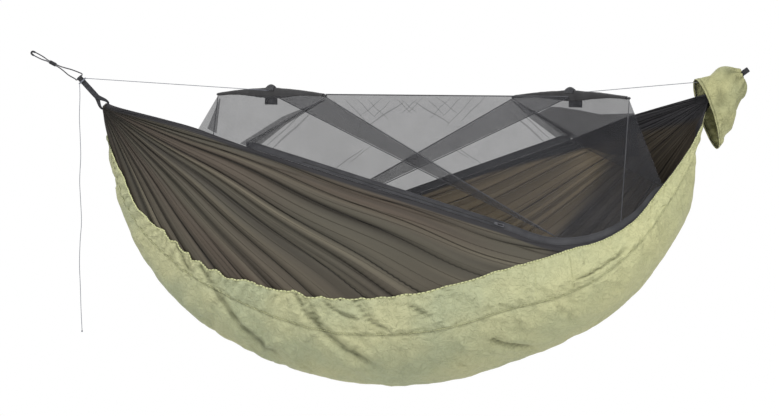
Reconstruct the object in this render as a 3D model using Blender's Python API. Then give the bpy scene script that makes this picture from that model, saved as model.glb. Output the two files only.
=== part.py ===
"""Hammock tent: a gathered-end hammock with mosquito net, quilted under layer and stuff sack.

Metres, +Z up. The origin is in the left hanging eye, where a hook bears. +X runs along
the hammock to its right end, and the near side, with the zip, faces -Y.

The cloth is cut asymmetrically. Its near edge runs straight from the left gather to a
low corner near the right end, and its far edge is the near one turned half round about
the vertical line through the middle. So each shape of the near side is written once, in
cloth coordinates: along (from the left gather), y, and drop (below the line that joins
the two gathers).
"""
import math

import bmesh
import bpy
import numpy as np
from mathutils import Matrix

# Hanging height and length, from eye to gathers, in the side view: along, up
CLOTH_LENGTH = 2.245
LEFT_BIGHT = (0.171, -0.089)
LEFT_GATHER = (0.277, -0.205)
GATHER_RISE = 0.045
RIGHT_HANG = (0.138, 0.099)

# Cloth
EDGE_DROP = 0.539
EDGE_REACH = 0.30
CLOTH_DEPTH = 1.020
BELLY = 0.115
CLOTH_WALL = 0.0020
FOLD_HEIGHT = 0.0090
FOLD_SLOPE_SHARE = 0.30
GATHER_LENGTH = 0.026
GATHER_HALF_WIDTH = 0.0090
GATHER_OFFSET = 0.0095

# Under layer
QUILT_LOFT = 0.0240
QUILT_HEM_WALL = 0.0040
QUILT_AIR = 0.0030
HEM_BEAD = 0.0035

# Net, its hems, tapes and zip
NET_WALL = 0.0006
NET_SAG = 0.010
HEM_HEIGHT = 0.028
HEM_WALL = 0.0012
TAPE_RADIUS = 0.0015
HEM_OVERRUN = 0.004
APEX_START = 0.030
GUSSET_START = 0.075
HEM_SEAT = 0.0011
PANEL_SEAT = 0.0014
END_PANEL_LIFT = 0.006
ZIP_TEETH_HEIGHT = 0.0050
ZIP_TEETH_DEPTH = 0.0022
SLIDER_LENGTH = 0.014
SLIDER_WALL = 0.0016
BRIDGE_SPAN = 0.0100
BRIDGE_WIDTH = 0.0020
BRIDGE_WALL = 0.0012
PULL_LENGTH = 0.030
PULL_WIDTH = 0.0080
PULL_PIN_RADIUS = 0.0010

# Spreader rods
ROD_LENGTH = 0.80
ROD_RUN = 0.414
ROD_ARCH = 0.016
ROD_RADIUS = 0.0030
LEFT_ROD_RISE = 0.049
RIGHT_ROD_RISE = 0.039
SLEEVE_BORE = 0.0038
SLEEVE_HALF_WIDTH = 0.0060
SLEEVE_END_HEIGHT = 0.0062
SLEEVE_MID_HEIGHT = 0.0130
CAP_LENGTH = 0.016
CAP_RADIUS = 0.0052
CAP_BORE_DEPTH = 0.010
LOOP_LENGTH = 0.060
LOOP_WALL = 0.0020
TAB_WIDTH = 0.048
TAB_HEIGHT = 0.036
TAB_WALL = 0.0014
TAB_DROP = 0.0008
RIGHT_TAB_SHIFT = 0.036

# Webbing, rope and cords
STRAP_WIDTH = 0.020
STRAP_NARROW = 0.0085
STRAP_THICKNESS = 0.0024
LEFT_BIGHT_RADIUS = 0.0085
RIGHT_BIGHT_RADIUS = 0.0040
RIGHT_FACE_RUN = 0.024
BIGHT_LENGTH = 0.035
LAYER_GAP = 0.0020
LEG_BEND = 0.0066
CHANNEL_LENGTH = 0.020
CHANNEL_BORE = 0.0062
CHANNEL_WALL = 0.0014
LEG_SPLIT_SHARE = 0.55
ROPE_RADIUS = 0.0022
ROPE_PAIR_GAP = 0.0008
EYE_NOSE = 0.0050
EYE_HALF_WIDTH = 0.0062
EYE_LENGTH = 0.060
ROPE_SPLIT = 0.108
EYE_SLEEVE_WALL = 0.0012
EYE_SLEEVE_REACH = 0.016
WHIPPING_LENGTH = 0.026
WHIPPING_WALL = 0.0012
LINE_RADIUS = 0.0012
KNOT_RADIUS = 0.0014
KNOT_BEAD = 0.0036
LEFT_KNOT_RUN = 0.020
RIGHT_KNOT_RUN = 0.085
TAIL_RADIUS = 0.0012
TAIL_KNOT_RADIUS = 0.0034

# Stuff sack
SACK_HEIGHT = 0.2965
SACK_HALF_DEPTH = 0.062
SACK_LEAN = 0.024
SACK_WALL = 0.0022
SACK_CORD_RADIUS = 0.0016

# Clearances and counts
GAP = 0.0003
SEAT = 0.0007
ROWS = 21
NEAR_FREE_COLUMNS = 7
QUILT_COLUMNS = 14

# Where the rods' middles are, as shares of the cloth's length
LEFT_ROD_SHARE = 0.271269
RIGHT_ROD_SHARE = 0.766592
# Shares of the cloth's length and of EDGE_DROP along the near edge, left to right
EDGE_ALONG_SHARES = (0.004, 0.143, 0.22, 0.29, 0.34, 0.70, 0.742, 0.80, 0.855, 0.904, 0.956, 0.98, 0.997)
EDGE_DROP_SHARES = (-0.02, 0.142, 0.268, 0.3665, 0.4367, 0.9417, 1.0, 0.97, 0.872, 0.655, 0.39, 0.226, 0.0)
EDGE_REACH_SHARES = (0.0, 0.193, 0.2965, 0.3908, 0.4582, 0.9434, 0.985, 0.97, 0.88, 0.70, 0.40, 0.22, 0.0)
CORNER_SHARE = 0.742
# Where the under layer's near hem crosses the cloth: row share, share from edge to bottom
HEM_ROW_SHARES = (0.0, 0.035, 0.08, 0.13, 0.17, 0.233, 0.29, 0.33, 0.37, 0.41, 0.478, 0.512, 0.59, 0.675, 0.73, 1.0)
HEM_CROSS_SHARES = (0.985, 0.975, 0.88, 0.86, 0.79, 0.76, 0.71, 0.66, 0.635, 0.595, 0.50, 0.44, 0.28, 0.07, 0.05, 0.05)
# Shares of the cloth's length where the net's seams meet the near edge
SHORT_SEAM_SHARE = 0.233
UPRIGHT_SEAM_SHARE = 0.846
NET_END_SHARE = 0.915
ZIP_START_SHARE = 0.29
ZIP_END_SHARE = 0.70
# Sack sections from mouth to end, as shares of its height from the webbing's tip:
# top along, top up, foot along, foot up, then half depth as a share of the largest
SACK_SECTION_SHARES = (
    (-0.665, -0.125, -0.389, -1.000, 0.89),
    (-0.520, -0.084, -0.289, -0.875, 1.00),
    (-0.364, 0.009, -0.176, -0.724, 1.00),
    (-0.213, 0.016, -0.113, -0.486, 0.84),
    (-0.113, -0.003, -0.038, -0.322, 0.58),
    (-0.108, -0.012, -0.026, -0.200, 0.38),
    (-0.1203, -0.0323, -0.0687, -0.1027, 0.125),
)
# How far the sack's sections lean towards the far side, as shares of SACK_LEAN
SACK_LEAN_SHARES = (1.0, 0.45, 0.1, 0.0, 0.0, 0.0, 0.0)
SACK_LIP_SHARE = 0.03
# The rope's eye: along as shares of EYE_NOSE or EYE_LENGTH, across of EYE_HALF_WIDTH
EYE_NOSE_SHARES = (0.55, 0.72)
EYE_SIDE_SHARES = ((0.5, 1.0), (0.8, 0.75))
# Where its strands part: along as a share of EYE_LENGTH, across of the pair's half width
SPLIT_SHARES = ((0.35, 2.2), (0.8, 4.4))
# The rope's turn round the strap's edge, as shares of its radius past the edge, and
# of its seat inside the bight
TURN_OUT_SHARES = (1.35, 1.3, 0.4, 1.3)
TURN_ALONG_SHARES = (2.0, 0.4, 0.84)
WHIPPING_WIDTH_SHARE = 1.25
# Small forms: the channel's ruching, the knot's flat turns and the caps' rounded ends
RUCHE_SHARE = 0.06
KNOT_RUN_SHARE = 3.0
KNOT_FLAT_SHARE = 2.0
CAP_STATION_SHARES = (0.0, 0.2, 0.5, 1.0)
CAP_WIDTH_SHARES = (0.5, 0.85, 1.0, 1.0)
# The cloth's forms: its lowest line, its belly, its folds and the under layer's ends
BOTTOM_ROUND_SHARES = (2 / 2.2, 2 / 2.1)
BELLY_ROUND_SHARE = 0.9
FOLD_MIDDLE_SHARE = 0.25
QUILT_ROUND_SHARE = 0.5
QUILT_END_SHARE = 0.10
ROW_APART_SHARE = 0.004
LEAST_OPEN_SHARE = 0.3
LEAST_LEAN_SHARE = 0.12
# Route of the tail, in metres from where it leaves its knot: along, out, down
TAIL_ROUTE = (
    (0.0, 0.0, 0.0), (0.0005, 0.0, -0.012), (0.001, 0.002, -0.050), (-0.001, 0.004, -0.120),
    (0.002, 0.000, -0.195), (0.004, -0.004, -0.270), (0.000, -0.003, -0.355),
    (0.003, 0.003, -0.430), (0.006, 0.005, -0.510), (0.001, 0.000, -0.590),
    (-0.001, -0.004, -0.670), (0.002, -0.002, -0.750), (0.004, 0.003, -0.830), (0.008, 0.002, -0.915),
)

RIGHT_GATHER = (LEFT_GATHER[0] + CLOTH_LENGTH, LEFT_GATHER[1] + GATHER_RISE)
RIGHT_TIP = (RIGHT_GATHER[0] + RIGHT_HANG[0], RIGHT_GATHER[1] + RIGHT_HANG[1])
LEFT_ROD = (LEFT_GATHER[0] + LEFT_ROD_SHARE * CLOTH_LENGTH, LEFT_GATHER[1] + LEFT_ROD_RISE)
RIGHT_ROD = (LEFT_GATHER[0] + RIGHT_ROD_SHARE * CLOTH_LENGTH, LEFT_GATHER[1] + RIGHT_ROD_RISE)
ROPE_SEAT = STRAP_THICKNESS / 2 + ROPE_RADIUS + GAP


def clear_scene():
    for old in list(bpy.data.objects):
        bpy.data.objects.remove(old, do_unlink=True)


def finish(piece, colour, roughness, metallic=0.0):
    """Give a piece a material of its own."""
    material = bpy.data.materials.new(piece.name + "_finish")
    material.use_nodes = True
    shader = material.node_tree.nodes["Principled BSDF"]
    shader.inputs["Base Color"].default_value = (*colour, 1.0)
    shader.inputs["Roughness"].default_value = roughness
    shader.inputs["Metallic"].default_value = metallic
    piece.data.materials.clear()
    piece.data.materials.append(material)
    return piece


MATT_SHARE, WOVEN_SHARE, SATIN_SHARE = 0.82, 0.72, 0.46
OLIVE = ((0.43, 0.45, 0.24), WOVEN_SHARE)
SACK_OLIVE = ((0.38, 0.40, 0.21), WOVEN_SHARE)
BROWN = ((0.105, 0.095, 0.070), WOVEN_SHARE)
NET_GREY = ((0.060, 0.060, 0.065), MATT_SHARE)
HEM_GREY = ((0.045, 0.045, 0.048), MATT_SHARE)
BLACK = ((0.022, 0.022, 0.026), WOVEN_SHARE)
CORD_GREY = ((0.16, 0.16, 0.17), MATT_SHARE)
ROD_GREY = ((0.12, 0.12, 0.13), SATIN_SHARE)
PLASTIC = ((0.020, 0.020, 0.022), SATIN_SHARE)


# Curves through chosen points

def smooth(points, steps=24):
    """Catmull-Rom curve through the points, as one array."""
    known = np.array(points, float)
    known = np.vstack([2 * known[0] - known[1], known, 2 * known[-1] - known[-2]])
    t = np.linspace(0, 1, steps, endpoint=False)[:, None]
    parts = []
    for a, b, c, d in zip(known, known[1:], known[2:], known[3:]):
        bend = 2 * a - 5 * b + 4 * c - d
        parts.append((2 * b + (c - a) * t + bend * t ** 2 + (3 * b - a - 3 * c + d) * t ** 3) / 2)
    return np.vstack(parts + [known[-2][None]])


def lengths(points):
    steps = np.linalg.norm(np.diff(points, axis=0), axis=1)
    return np.concatenate([[0.0], np.cumsum(steps)])


def at_lengths(points, where):
    """Points of a polyline at the given lengths along it."""
    run = lengths(points)
    return np.stack([np.interp(where, run, points[:, k]) for k in range(points.shape[1])], axis=-1)


def evenly(points, count):
    return at_lengths(points, np.linspace(0, lengths(points)[-1], count))


def trimmed(points, start, end, count):
    whole = lengths(points)[-1]
    return at_lengths(points, np.linspace(start, whole - end, count))


def unit(vectors):
    return vectors / np.linalg.norm(vectors, axis=-1, keepdims=True)


def tangents(points, cyclic=False):
    if cyclic:
        return unit(np.roll(points, -1, axis=0) - np.roll(points, 1, axis=0))
    return unit(np.gradient(points, axis=0))


def grid_normals(grid):
    along = np.gradient(grid, axis=0)
    across = np.gradient(grid, axis=1)
    return unit(np.cross(along, across))


# Solids

def solid(name, points, faces, look, smooth_angle=math.radians(50)):
    mesh = bpy.data.meshes.new(name)
    mesh.from_pydata([tuple(p) for p in points], [], faces)
    work = bmesh.new()
    work.from_mesh(mesh)
    bmesh.ops.recalc_face_normals(work, faces=work.faces)
    work.to_mesh(mesh)
    work.free()
    if smooth_angle is None:
        mesh.shade_flat()
    else:
        mesh.shade_smooth()
        mesh.set_sharp_from_angle(angle=smooth_angle)
    piece = bpy.data.objects.new(name, mesh)
    bpy.context.collection.objects.link(piece)
    return finish(piece, *look)


def quads(rows, columns, wrap_rows, wrap_columns, twist=0):
    """Faces of a grid of points, closed on itself in either direction."""
    faces = []
    for i in range(rows if wrap_rows else rows - 1):
        last = i == rows - 1
        for j in range(columns if wrap_columns else columns - 1):
            k = (j + 1) % columns
            shift = twist if last else 0
            a, b = i * columns + j, i * columns + k
            c = ((i + 1) % rows) * columns + (k + shift) % columns
            d = ((i + 1) % rows) * columns + (j + shift) % columns
            faces.append((a, b, c, d))
    return faces


def sheet(name, inner, outer, look):
    """A wall between two grids of points, closed round its rim."""
    rows, columns = inner.shape[:2]
    points = np.vstack([inner.reshape(-1, 3), outer.reshape(-1, 3)])
    half = rows * columns
    skin = []
    for a, b, c, d in quads(rows, columns, False, False):
        skin += [(a, b, c), (a, c, d)]
    faces = skin + [tuple(half + v for v in reversed(face)) for face in skin]
    rim = [j for j in range(columns)]
    rim += [i * columns + columns - 1 for i in range(1, rows)]
    rim += [(rows - 1) * columns + j for j in range(columns - 2, -1, -1)]
    rim += [i * columns for i in range(rows - 2, 0, -1)]
    for a, b in zip(rim, rim[1:] + rim[:1]):
        faces.append((b, a, half + a, half + b))
    return solid(name, points, faces, look)


def thick(name, grid, wall, look, offset=0.0):
    """A sheet of even thickness, laid off a grid of points along its normals."""
    normals = grid_normals(grid)
    return sheet(name, grid + normals * (offset - wall / 2), grid + normals * (offset + wall / 2), look)


def loft(name, rings, look, cyclic=False, twist=0):
    """Rings of points joined in turn, with flat ends or closed on themselves."""
    stations, around = rings.shape[:2]
    faces = quads(stations, around, cyclic, True, twist)
    if not cyclic:
        faces.append(tuple(range(around)))
        faces.append(tuple((stations - 1) * around + j for j in reversed(range(around))))
    return solid(name, rings.reshape(-1, 3), faces, look)


def bored(name, outer, inner, look):
    """A tube with an open bore, both skins cut into triangles alike."""
    stations, around = outer.shape[:2]
    half = stations * around
    skin = []
    for a, b, c, d in quads(stations, around, False, True):
        skin += [(a, b, c), (a, c, d)]
    faces = skin + [tuple(half + v for v in reversed(face)) for face in skin]
    for start in (0, half - around):
        for j in range(around):
            a, b = start + j, start + (j + 1) % around
            faces.append((b, a, half + a, half + b))
    return solid(name, np.vstack([outer.reshape(-1, 3), inner.reshape(-1, 3)]), faces, look)


def ellipse_rings(path, side, up, half_width, half_height, count):
    """Elliptical rings round a path. The half sizes may be arrays, one value a station."""
    angle = np.linspace(0, 2 * math.pi, count, endpoint=False)
    wide = np.broadcast_to(half_width, len(path))[:, None, None]
    high = np.broadcast_to(half_height, len(path))[:, None, None]
    across = np.cos(angle)[None, :, None] * np.broadcast_to(side, path.shape)[:, None, :]
    above = np.sin(angle)[None, :, None] * np.broadcast_to(up, path.shape)[:, None, :]
    return path[:, None, :] + wide * across + high * above


def cord(name, points, radius, look, cyclic=False, resolution=2):
    """A round cord: a curve with a bevel through the points."""
    curve = bpy.data.curves.new(name, "CURVE")
    curve.dimensions = "3D"
    spline = curve.splines.new("POLY")
    spline.points.add(len(points) - 1)
    for target, point in zip(spline.points, points):
        target.co = (*point, 1.0)
    spline.use_cyclic_u = cyclic
    spline.use_smooth = True
    curve.bevel_depth = radius
    curve.bevel_resolution = resolution
    curve.use_fill_caps = not cyclic
    piece = bpy.data.objects.new(name, curve)
    bpy.context.collection.objects.link(piece)
    return finish(piece, *look)


def ball(centre, radius):
    """Points and faces of a small closed bead."""
    bead = bmesh.new()
    bmesh.ops.create_icosphere(bead, subdivisions=2, radius=radius)
    points = [tuple(np.array(v.co) + centre) for v in bead.verts]
    faces = [tuple(v.index for v in face.verts) for face in bead.faces]
    bead.free()
    return points, faces


# Cloth coordinates

def world(points):
    """Cloth coordinates (along, y, drop) as places in the hammock's frame."""
    along, y, drop = np.moveaxis(np.asarray(points, float), -1, 0)
    share = along / CLOTH_LENGTH
    z = LEFT_GATHER[1] + (RIGHT_GATHER[1] - LEFT_GATHER[1]) * share - drop
    return np.stack([LEFT_GATHER[0] + along, y, z], axis=-1)


def turned(points):
    """The same shape on the far side: half a turn about the vertical middle line."""
    points = np.asarray(points, float)
    return np.stack([CLOTH_LENGTH - points[..., 0], -points[..., 1], points[..., 2]], axis=-1)


def edge_curve():
    """The near edge in cloth coordinates, left gather to right gather."""
    places = np.stack([
        np.array(EDGE_ALONG_SHARES) * CLOTH_LENGTH,
        -np.array(EDGE_REACH_SHARES) * EDGE_REACH,
        np.array(EDGE_DROP_SHARES) * EDGE_DROP,
    ], axis=-1)
    curve = smooth(places)
    pinch = np.clip(np.minimum(curve[:, 0], CLOTH_LENGTH - curve[:, 0]) / GATHER_LENGTH, 0, 1)
    curve[:, 1] -= GATHER_HALF_WIDTH * (1 + pinch)
    return curve


EDGE = edge_curve()
EDGE_LENGTH = lengths(EDGE)[-1]


def row_shares():
    """Rows lie closer near both gathers, where the cloth turns down steeply."""
    even = np.linspace(0, 1, ROWS)
    return even - np.sin(2 * math.pi * even) / (4 * math.pi)


ROW_SHARES = row_shares()
EDGE_AT_ROWS = at_lengths(EDGE, ROW_SHARES * EDGE_LENGTH)


def edge_at(rows):
    """The near edge as the cloth's rows give it, straight from row to row."""
    return np.stack([np.interp(rows, ROW_SHARES, EDGE_AT_ROWS[:, k]) for k in range(3)], axis=-1)


def row_of(along_share):
    """Row share where the near edge passes a share of the cloth's length."""
    return float(np.interp(along_share * CLOTH_LENGTH, EDGE_AT_ROWS[:, 0], ROW_SHARES))


def rows_between(start, end):
    """The cloth's rows between two row shares, with both ends."""
    inner = ROW_SHARES[(ROW_SHARES > start + ROW_APART_SHARE) & (ROW_SHARES < end - ROW_APART_SHARE)]
    return np.concatenate([[start], inner, [end]])


def bottom_at(row_shares):
    """The cloth's lowest line: a superellipse hung between the gathers."""
    turn = math.pi * np.asarray(row_shares)
    half = CLOTH_LENGTH / 2
    along = half - half * np.sign(np.cos(turn)) * np.abs(np.cos(turn)) ** BOTTOM_ROUND_SHARES[0]
    drop = CLOTH_DEPTH * np.abs(np.sin(turn)) ** BOTTOM_ROUND_SHARES[1]
    return np.stack([along, np.zeros_like(along), drop + GATHER_LENGTH / 2], axis=-1)


def hem_cross(row_shares):
    """Share of the way from near edge to bottom where the quilt's near hem lies."""
    table = np.stack([HEM_ROW_SHARES, HEM_CROSS_SHARES], axis=-1)
    curve = smooth(table)
    cross = np.interp(row_shares, curve[:, 0], curve[:, 1])
    return np.clip(cross, min(HEM_CROSS_SHARES), max(HEM_CROSS_SHARES))


def columns_at(row_share):
    """Cross shares of the cloth's columns: 0 near edge, 0.5 bottom, 1 far edge."""
    near = math.asin(hem_cross(row_share)) / math.pi
    far = 1 - math.asin(hem_cross(1 - row_share)) / math.pi
    left = np.linspace(0, near, NEAR_FREE_COLUMNS + 1)
    middle = np.linspace(near, far, QUILT_COLUMNS + 1)
    right = np.linspace(far, 1, NEAR_FREE_COLUMNS + 1)
    return np.concatenate([left, middle[1:], right[1:]])


def cloth_points(rows, crosses):
    """Cloth surface in cloth coordinates. crosses holds one list of shares a row.

    From edge to bottom a point moves along the straight line between the two in the
    side view, and in depth round a quarter of an ellipse with a belly added.
    """
    near = edge_at(rows)[:, None, :]
    far = turned(edge_at(1 - rows))[:, None, :]
    bottom = bottom_at(rows)[:, None, :]
    angle = math.pi * crosses
    down = np.sin(angle)[..., None]
    out = np.cos(angle)
    edge = np.where((crosses < 0.5)[..., None], near, far)
    surface = edge + (bottom - edge) * down
    swell = BELLY * np.sin(math.pi * rows)[:, None] ** BELLY_ROUND_SHARE
    reach = np.abs(edge[..., 1]) * np.abs(out) + swell * np.abs(np.sin(2 * angle))
    surface[..., 1] = -np.sign(0.5 - crosses) * reach
    return surface


def folded(grid, normals):
    """Main folds: every second column stands out, less where the columns lie close."""
    spacing = np.linalg.norm(np.gradient(grid, axis=1), axis=2)
    near_ends = FOLD_MIDDLE_SHARE + (1 - FOLD_MIDDLE_SHARE) * np.abs(np.cos(math.pi * ROW_SHARES))[:, None]
    height = np.minimum(spacing * FOLD_SLOPE_SHARE, FOLD_HEIGHT) * near_ends
    side = np.where(np.arange(grid.shape[1]) % 2 == 0, 1.0, -1.0)
    side[0] = side[-1] = 0.0
    height[0] = height[-1] = 0.0
    return grid + normals * (height * side / 2)[..., None]


CROSS_SHARES = np.array([columns_at(share) for share in ROW_SHARES])


def cloth_grid():
    grid = world(cloth_points(ROW_SHARES, CROSS_SHARES))
    out = grid_normals(grid)
    if out[ROWS // 2, NEAR_FREE_COLUMNS + QUILT_COLUMNS // 2, 2] > 0:
        out = -out
    return folded(grid, out), out


CLOTH, CLOTH_OUT = cloth_grid()
QUILT_ROWS = slice(1, -1)
HEM_ROWS = slice(3, -3)


# Cloth and under layer

def make_cloth():
    half = CLOTH_WALL / 2
    return sheet("hammock_cloth", CLOTH - CLOTH_OUT * half, CLOTH + CLOTH_OUT * half, BROWN)


def make_quilt():
    """Under layer: flush at its hems, lofted with a little air behind it between them."""
    first, last = NEAR_FREE_COLUMNS, NEAR_FREE_COLUMNS + QUILT_COLUMNS
    across = np.linspace(0, 1, QUILT_COLUMNS + 1)[None, :]
    ends = np.clip(np.minimum(ROW_SHARES, 1 - ROW_SHARES) / QUILT_END_SHARE, 0, 1)[:, None]
    rise = np.clip(np.sin(math.pi * across), 0, 1) ** QUILT_ROUND_SHARE * np.sin(ends * math.pi / 2)
    air = SEAT + QUILT_AIR * rise
    loft_height = QUILT_HEM_WALL + (QUILT_LOFT - QUILT_HEM_WALL) * rise
    base = CLOTH[QUILT_ROWS, first:last + 1]
    out = CLOTH_OUT[QUILT_ROWS, first:last + 1]
    start = (CLOTH_WALL / 2 + air)[QUILT_ROWS, :, None]
    end = start + loft_height[QUILT_ROWS, :, None]
    sheet("quilted_under_layer", base + out * start, base + out * end, OLIVE)
    for side, column, step in (("near", first, -1), ("far", last, 1)):
        hem = CLOTH[HEM_ROWS, column]
        away = unit(CLOTH[HEM_ROWS, column + step] - hem)
        lift = CLOTH_WALL / 2 + 2 * SEAT + HEM_BEAD
        path = hem + CLOTH_OUT[HEM_ROWS, column] * lift + away * (HEM_BEAD + 3 * SEAT)
        cord(side + "_quilt_hem", path, HEM_BEAD, OLIVE, resolution=1)


# Net

def hem_line(rows, height):
    """A line above the near edge of the cloth, in cloth coordinates."""
    line = edge_at(rows)
    line[:, 2] -= height
    return line


def rod_ends(middle):
    """Near end, middle and far end of a spreader rod, in world places."""
    depth = math.sqrt(ROD_LENGTH ** 2 - ROD_RUN ** 2) / 2
    near = np.array([middle[0] + ROD_RUN / 2, -depth, middle[1]])
    far = np.array([middle[0] - ROD_RUN / 2, depth, middle[1]])
    top = np.array([middle[0], 0.0, middle[1] + ROD_ARCH])
    return near, top, far


def rod_path(middle, count):
    """The rod's bowed line, near end to far end: a parabola of height ROD_ARCH."""
    near, top, far = rod_ends(middle)
    t = np.linspace(0, 1, count)[:, None]
    line = near + (far - near) * t
    line[:, 2] += (4 * ROD_ARCH * t * (1 - t))[:, 0]
    return line


def sleeve_half_height(share):
    """The sleeve is deepest at the rod's middle and narrows to both ends."""
    return SLEEVE_END_HEIGHT + (SLEEVE_MID_HEIGHT - SLEEVE_END_HEIGHT) * np.sin(math.pi * share) ** 2


def kept_off(line, reach, keep):
    """Lengths to take off the lines that reach from a line, so that their ends clear it."""
    lean = np.linalg.norm(np.cross(tangents(line), unit(reach)), axis=1, keepdims=True)
    return keep / np.maximum(lean, LEAST_LEAN_SHARE)


def ruled(top, foot, top_keep, foot_keep, rows, sag=NET_SAG):
    """Sheet of straight lines from a top line to a foot line, kept off what they meet."""
    reach = foot - top
    start = top + unit(reach) * kept_off(top, reach, top_keep)
    end = foot - unit(reach) * kept_off(foot, reach, foot_keep)
    t = np.linspace(0, 1, rows)[:, None, None]
    s = np.linspace(0, 1, len(top))[None, :]
    grid = start + (end - start) * t
    grid[..., 2] -= sag * np.sin(math.pi * t[..., 0]) * np.sin(math.pi * s)
    return grid


def side_inset(line, reach, keep, at_end):
    """Length to take off a line's end so that a sheet stays clear of the seam there."""
    step = (line[-1] - line[-2]) if at_end else (line[1] - line[0])
    lean = np.linalg.norm(np.cross(unit(step), unit(reach)))
    return keep / max(lean, LEAST_LEAN_SHARE)


def together(step_a, step_b, reach):
    """How far two insets, seen along the seam between them, point the same way."""
    reach = unit(reach)
    a = unit(step_a - reach * np.dot(step_a, reach))
    b = unit(step_b - reach * np.dot(step_b, reach))
    return max(np.linalg.norm(a + b) / 2, LEAST_OPEN_SHARE)


def net_panel(name, top, foot, columns, rows, apex=None, keep=TAPE_RADIUS + SEAT, sag=NET_SAG):
    """One net panel between two lines, inset from the seams at both sides.

    With an apex, the top is one point, and the panel starts that far from it.
    """
    first = foot[0] - top[0]
    last = foot[-1] - top[-1]
    top_trim = keep
    if apex is not None:
        top = top[0] + unit(foot - top[0]) * apex
        top_trim = 0.0
    near_keep = keep / together(top[1] - top[0], foot[1] - foot[0], first)
    far_keep = keep / together(top[-1] - top[-2], foot[-1] - foot[-2], last)
    top = trimmed(top, side_inset(top, first, near_keep, False), side_inset(top, last, far_keep, True), columns)
    foot = trimmed(foot, side_inset(foot, first, near_keep, False), side_inset(foot, last, far_keep, True), columns)
    grid = ruled(top, foot, top_trim, PANEL_SEAT, rows, sag)
    thick(name, grid, NET_WALL, NET_GREY)
    return grid


def seam(name, start, end, start_trim, end_trim):
    line = np.stack([start, end])
    cord(name, trimmed(line, start_trim, end_trim, 10), TAPE_RADIUS, HEM_GREY, resolution=1)


def net_side(side, place, first, second, outward):
    """The panels, seams and hem of one side.

    first and second are the rod halves over its zip end and its other end, each with
    its tip and the line from the rod's middle to that tip.
    """
    def hem_at(start, end, count, height=HEM_HEIGHT + HEM_SEAT):
        rows = np.linspace(row_of(start), row_of(end), count)
        return place(hem_line(rows, height))

    corner = hem_at(CORNER_SHARE, CORNER_SHARE, 1)[0]
    zip_foot = hem_at(SHORT_SEAM_SHARE, CORNER_SHARE, 13)
    main_foot = hem_at(CORNER_SHARE, UPRIGHT_SEAM_SHARE, 24)
    end_foot = hem_at(UPRIGHT_SEAM_SHARE, NET_END_SHARE, 5)
    tip, middle = first[-1], first[0]
    other_tip = second[-1]

    ridge = np.stack([middle, second[0]])
    main_top = evenly(np.concatenate([evenly(ridge, 12), second[1:]]), 24)
    net_panel(side + "_net_main_panel", main_top, main_foot, 12, 9)
    net_panel(side + "_net_gusset", corner[None], first, 6, 9, GUSSET_START)
    zip_panel = net_panel(side + "_net_zip_panel", tip[None], zip_foot, 11, 8, APEX_START)
    net_panel(side + "_net_corner", other_tip[None], end_foot, 5, 7, APEX_START)
    thick(side + "_net_strip", zip_panel[1:-1, :2], NET_WALL, HEM_GREY, outward * (NET_WALL + SEAT))

    end = TAPE_RADIUS
    seam(side + "_gusset_outer_seam", tip, corner, APEX_START / 2, end)
    seam(side + "_gusset_inner_seam", middle, corner, APEX_START / 2, GUSSET_START / 2)
    seam(side + "_short_seam", tip, zip_foot[0], APEX_START / 2, end)
    seam(side + "_upright_seam", other_tip, end_foot[0], APEX_START / 2, end)

    overrun = HEM_OVERRUN / EDGE_LENGTH
    rows = rows_between(row_of(SHORT_SEAM_SHARE) - overrun, row_of(NET_END_SHARE) + overrun)
    band = np.stack([place(hem_line(rows, HEM_SEAT)), place(hem_line(rows, HEM_HEIGHT))])
    thick(side + "_hem_band", band, HEM_WALL, HEM_GREY)
    return zip_foot[0], end_foot[-1]


def turned_world(points):
    return world(turned(points))


def make_net():
    """The net hangs from the foot of both rod sleeves and from the ridge tape."""
    down = np.array([0.0, 0.0, SLEEVE_MID_HEIGHT + SEAT])
    left = rod_path(LEFT_ROD, 13) - down
    right = rod_path(RIGHT_ROD, 13) - down
    near_zip, near_end = net_side("near", world, left[6::-1], right[6::-1], -1)
    far_zip, far_end = net_side("far", turned_world, right[6:], left[6:], -1)
    lift = np.array([0.0, 0.0, END_PANEL_LIFT])
    net_panel("left_net_end", left, evenly(np.stack([near_zip, far_end]) + lift, 13), 9, 7)
    net_panel("right_net_end", right, evenly(np.stack([near_end, far_zip]) + lift, 13), 9, 7)
    ridge = np.stack([left[6], right[6]])
    path = trimmed(ridge, LOOP_WALL + SEAT, LOOP_WALL + SEAT, 14)
    cord("net_ridge_tape", path, TAPE_RADIUS, HEM_GREY, resolution=1)


# Spreader rods

def ring_body(rings, cyclic=False):
    around = rings.shape[1]
    faces = quads(len(rings), around, cyclic, True)
    if not cyclic:
        faces += [tuple(range(around)), tuple((len(rings) - 1) * around + j for j in reversed(range(around)))]
    return rings.reshape(-1, 3), faces


def block(centre, axes, sizes):
    """A box along three directions, as points and faces."""
    signs = np.array([(a, b, c) for a in (-1, 1) for b in (-1, 1) for c in (-1, 1)]) / 2
    points = np.array(centre) + (signs * np.array(sizes)) @ np.array(axes)
    faces = [(0, 1, 3, 2), (4, 6, 7, 5), (0, 4, 5, 1), (2, 3, 7, 6), (0, 2, 6, 4), (1, 5, 7, 3)]
    return points, faces


def cut_or_join(piece, tool, operation):
    """Boolean with a helper that the render leaves out."""
    tool.hide_render = True
    tool.display_type = "WIRE"
    modifier = piece.modifiers.new(operation.lower(), "BOOLEAN")
    modifier.operation = operation
    modifier.solver = "EXACT"
    modifier.object = tool


def frame_of(path):
    """Heading, level side and upward directions along a path."""
    heading = tangents(path)
    side = unit(np.cross(heading, [0.0, 0.0, 1.0]))
    return heading, side, unit(np.cross(side, heading))


def round_rings(path, half_width, half_height, count):
    heading, side, up = frame_of(path)
    return ellipse_rings(path, side, up, half_width, half_height, count)


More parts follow.
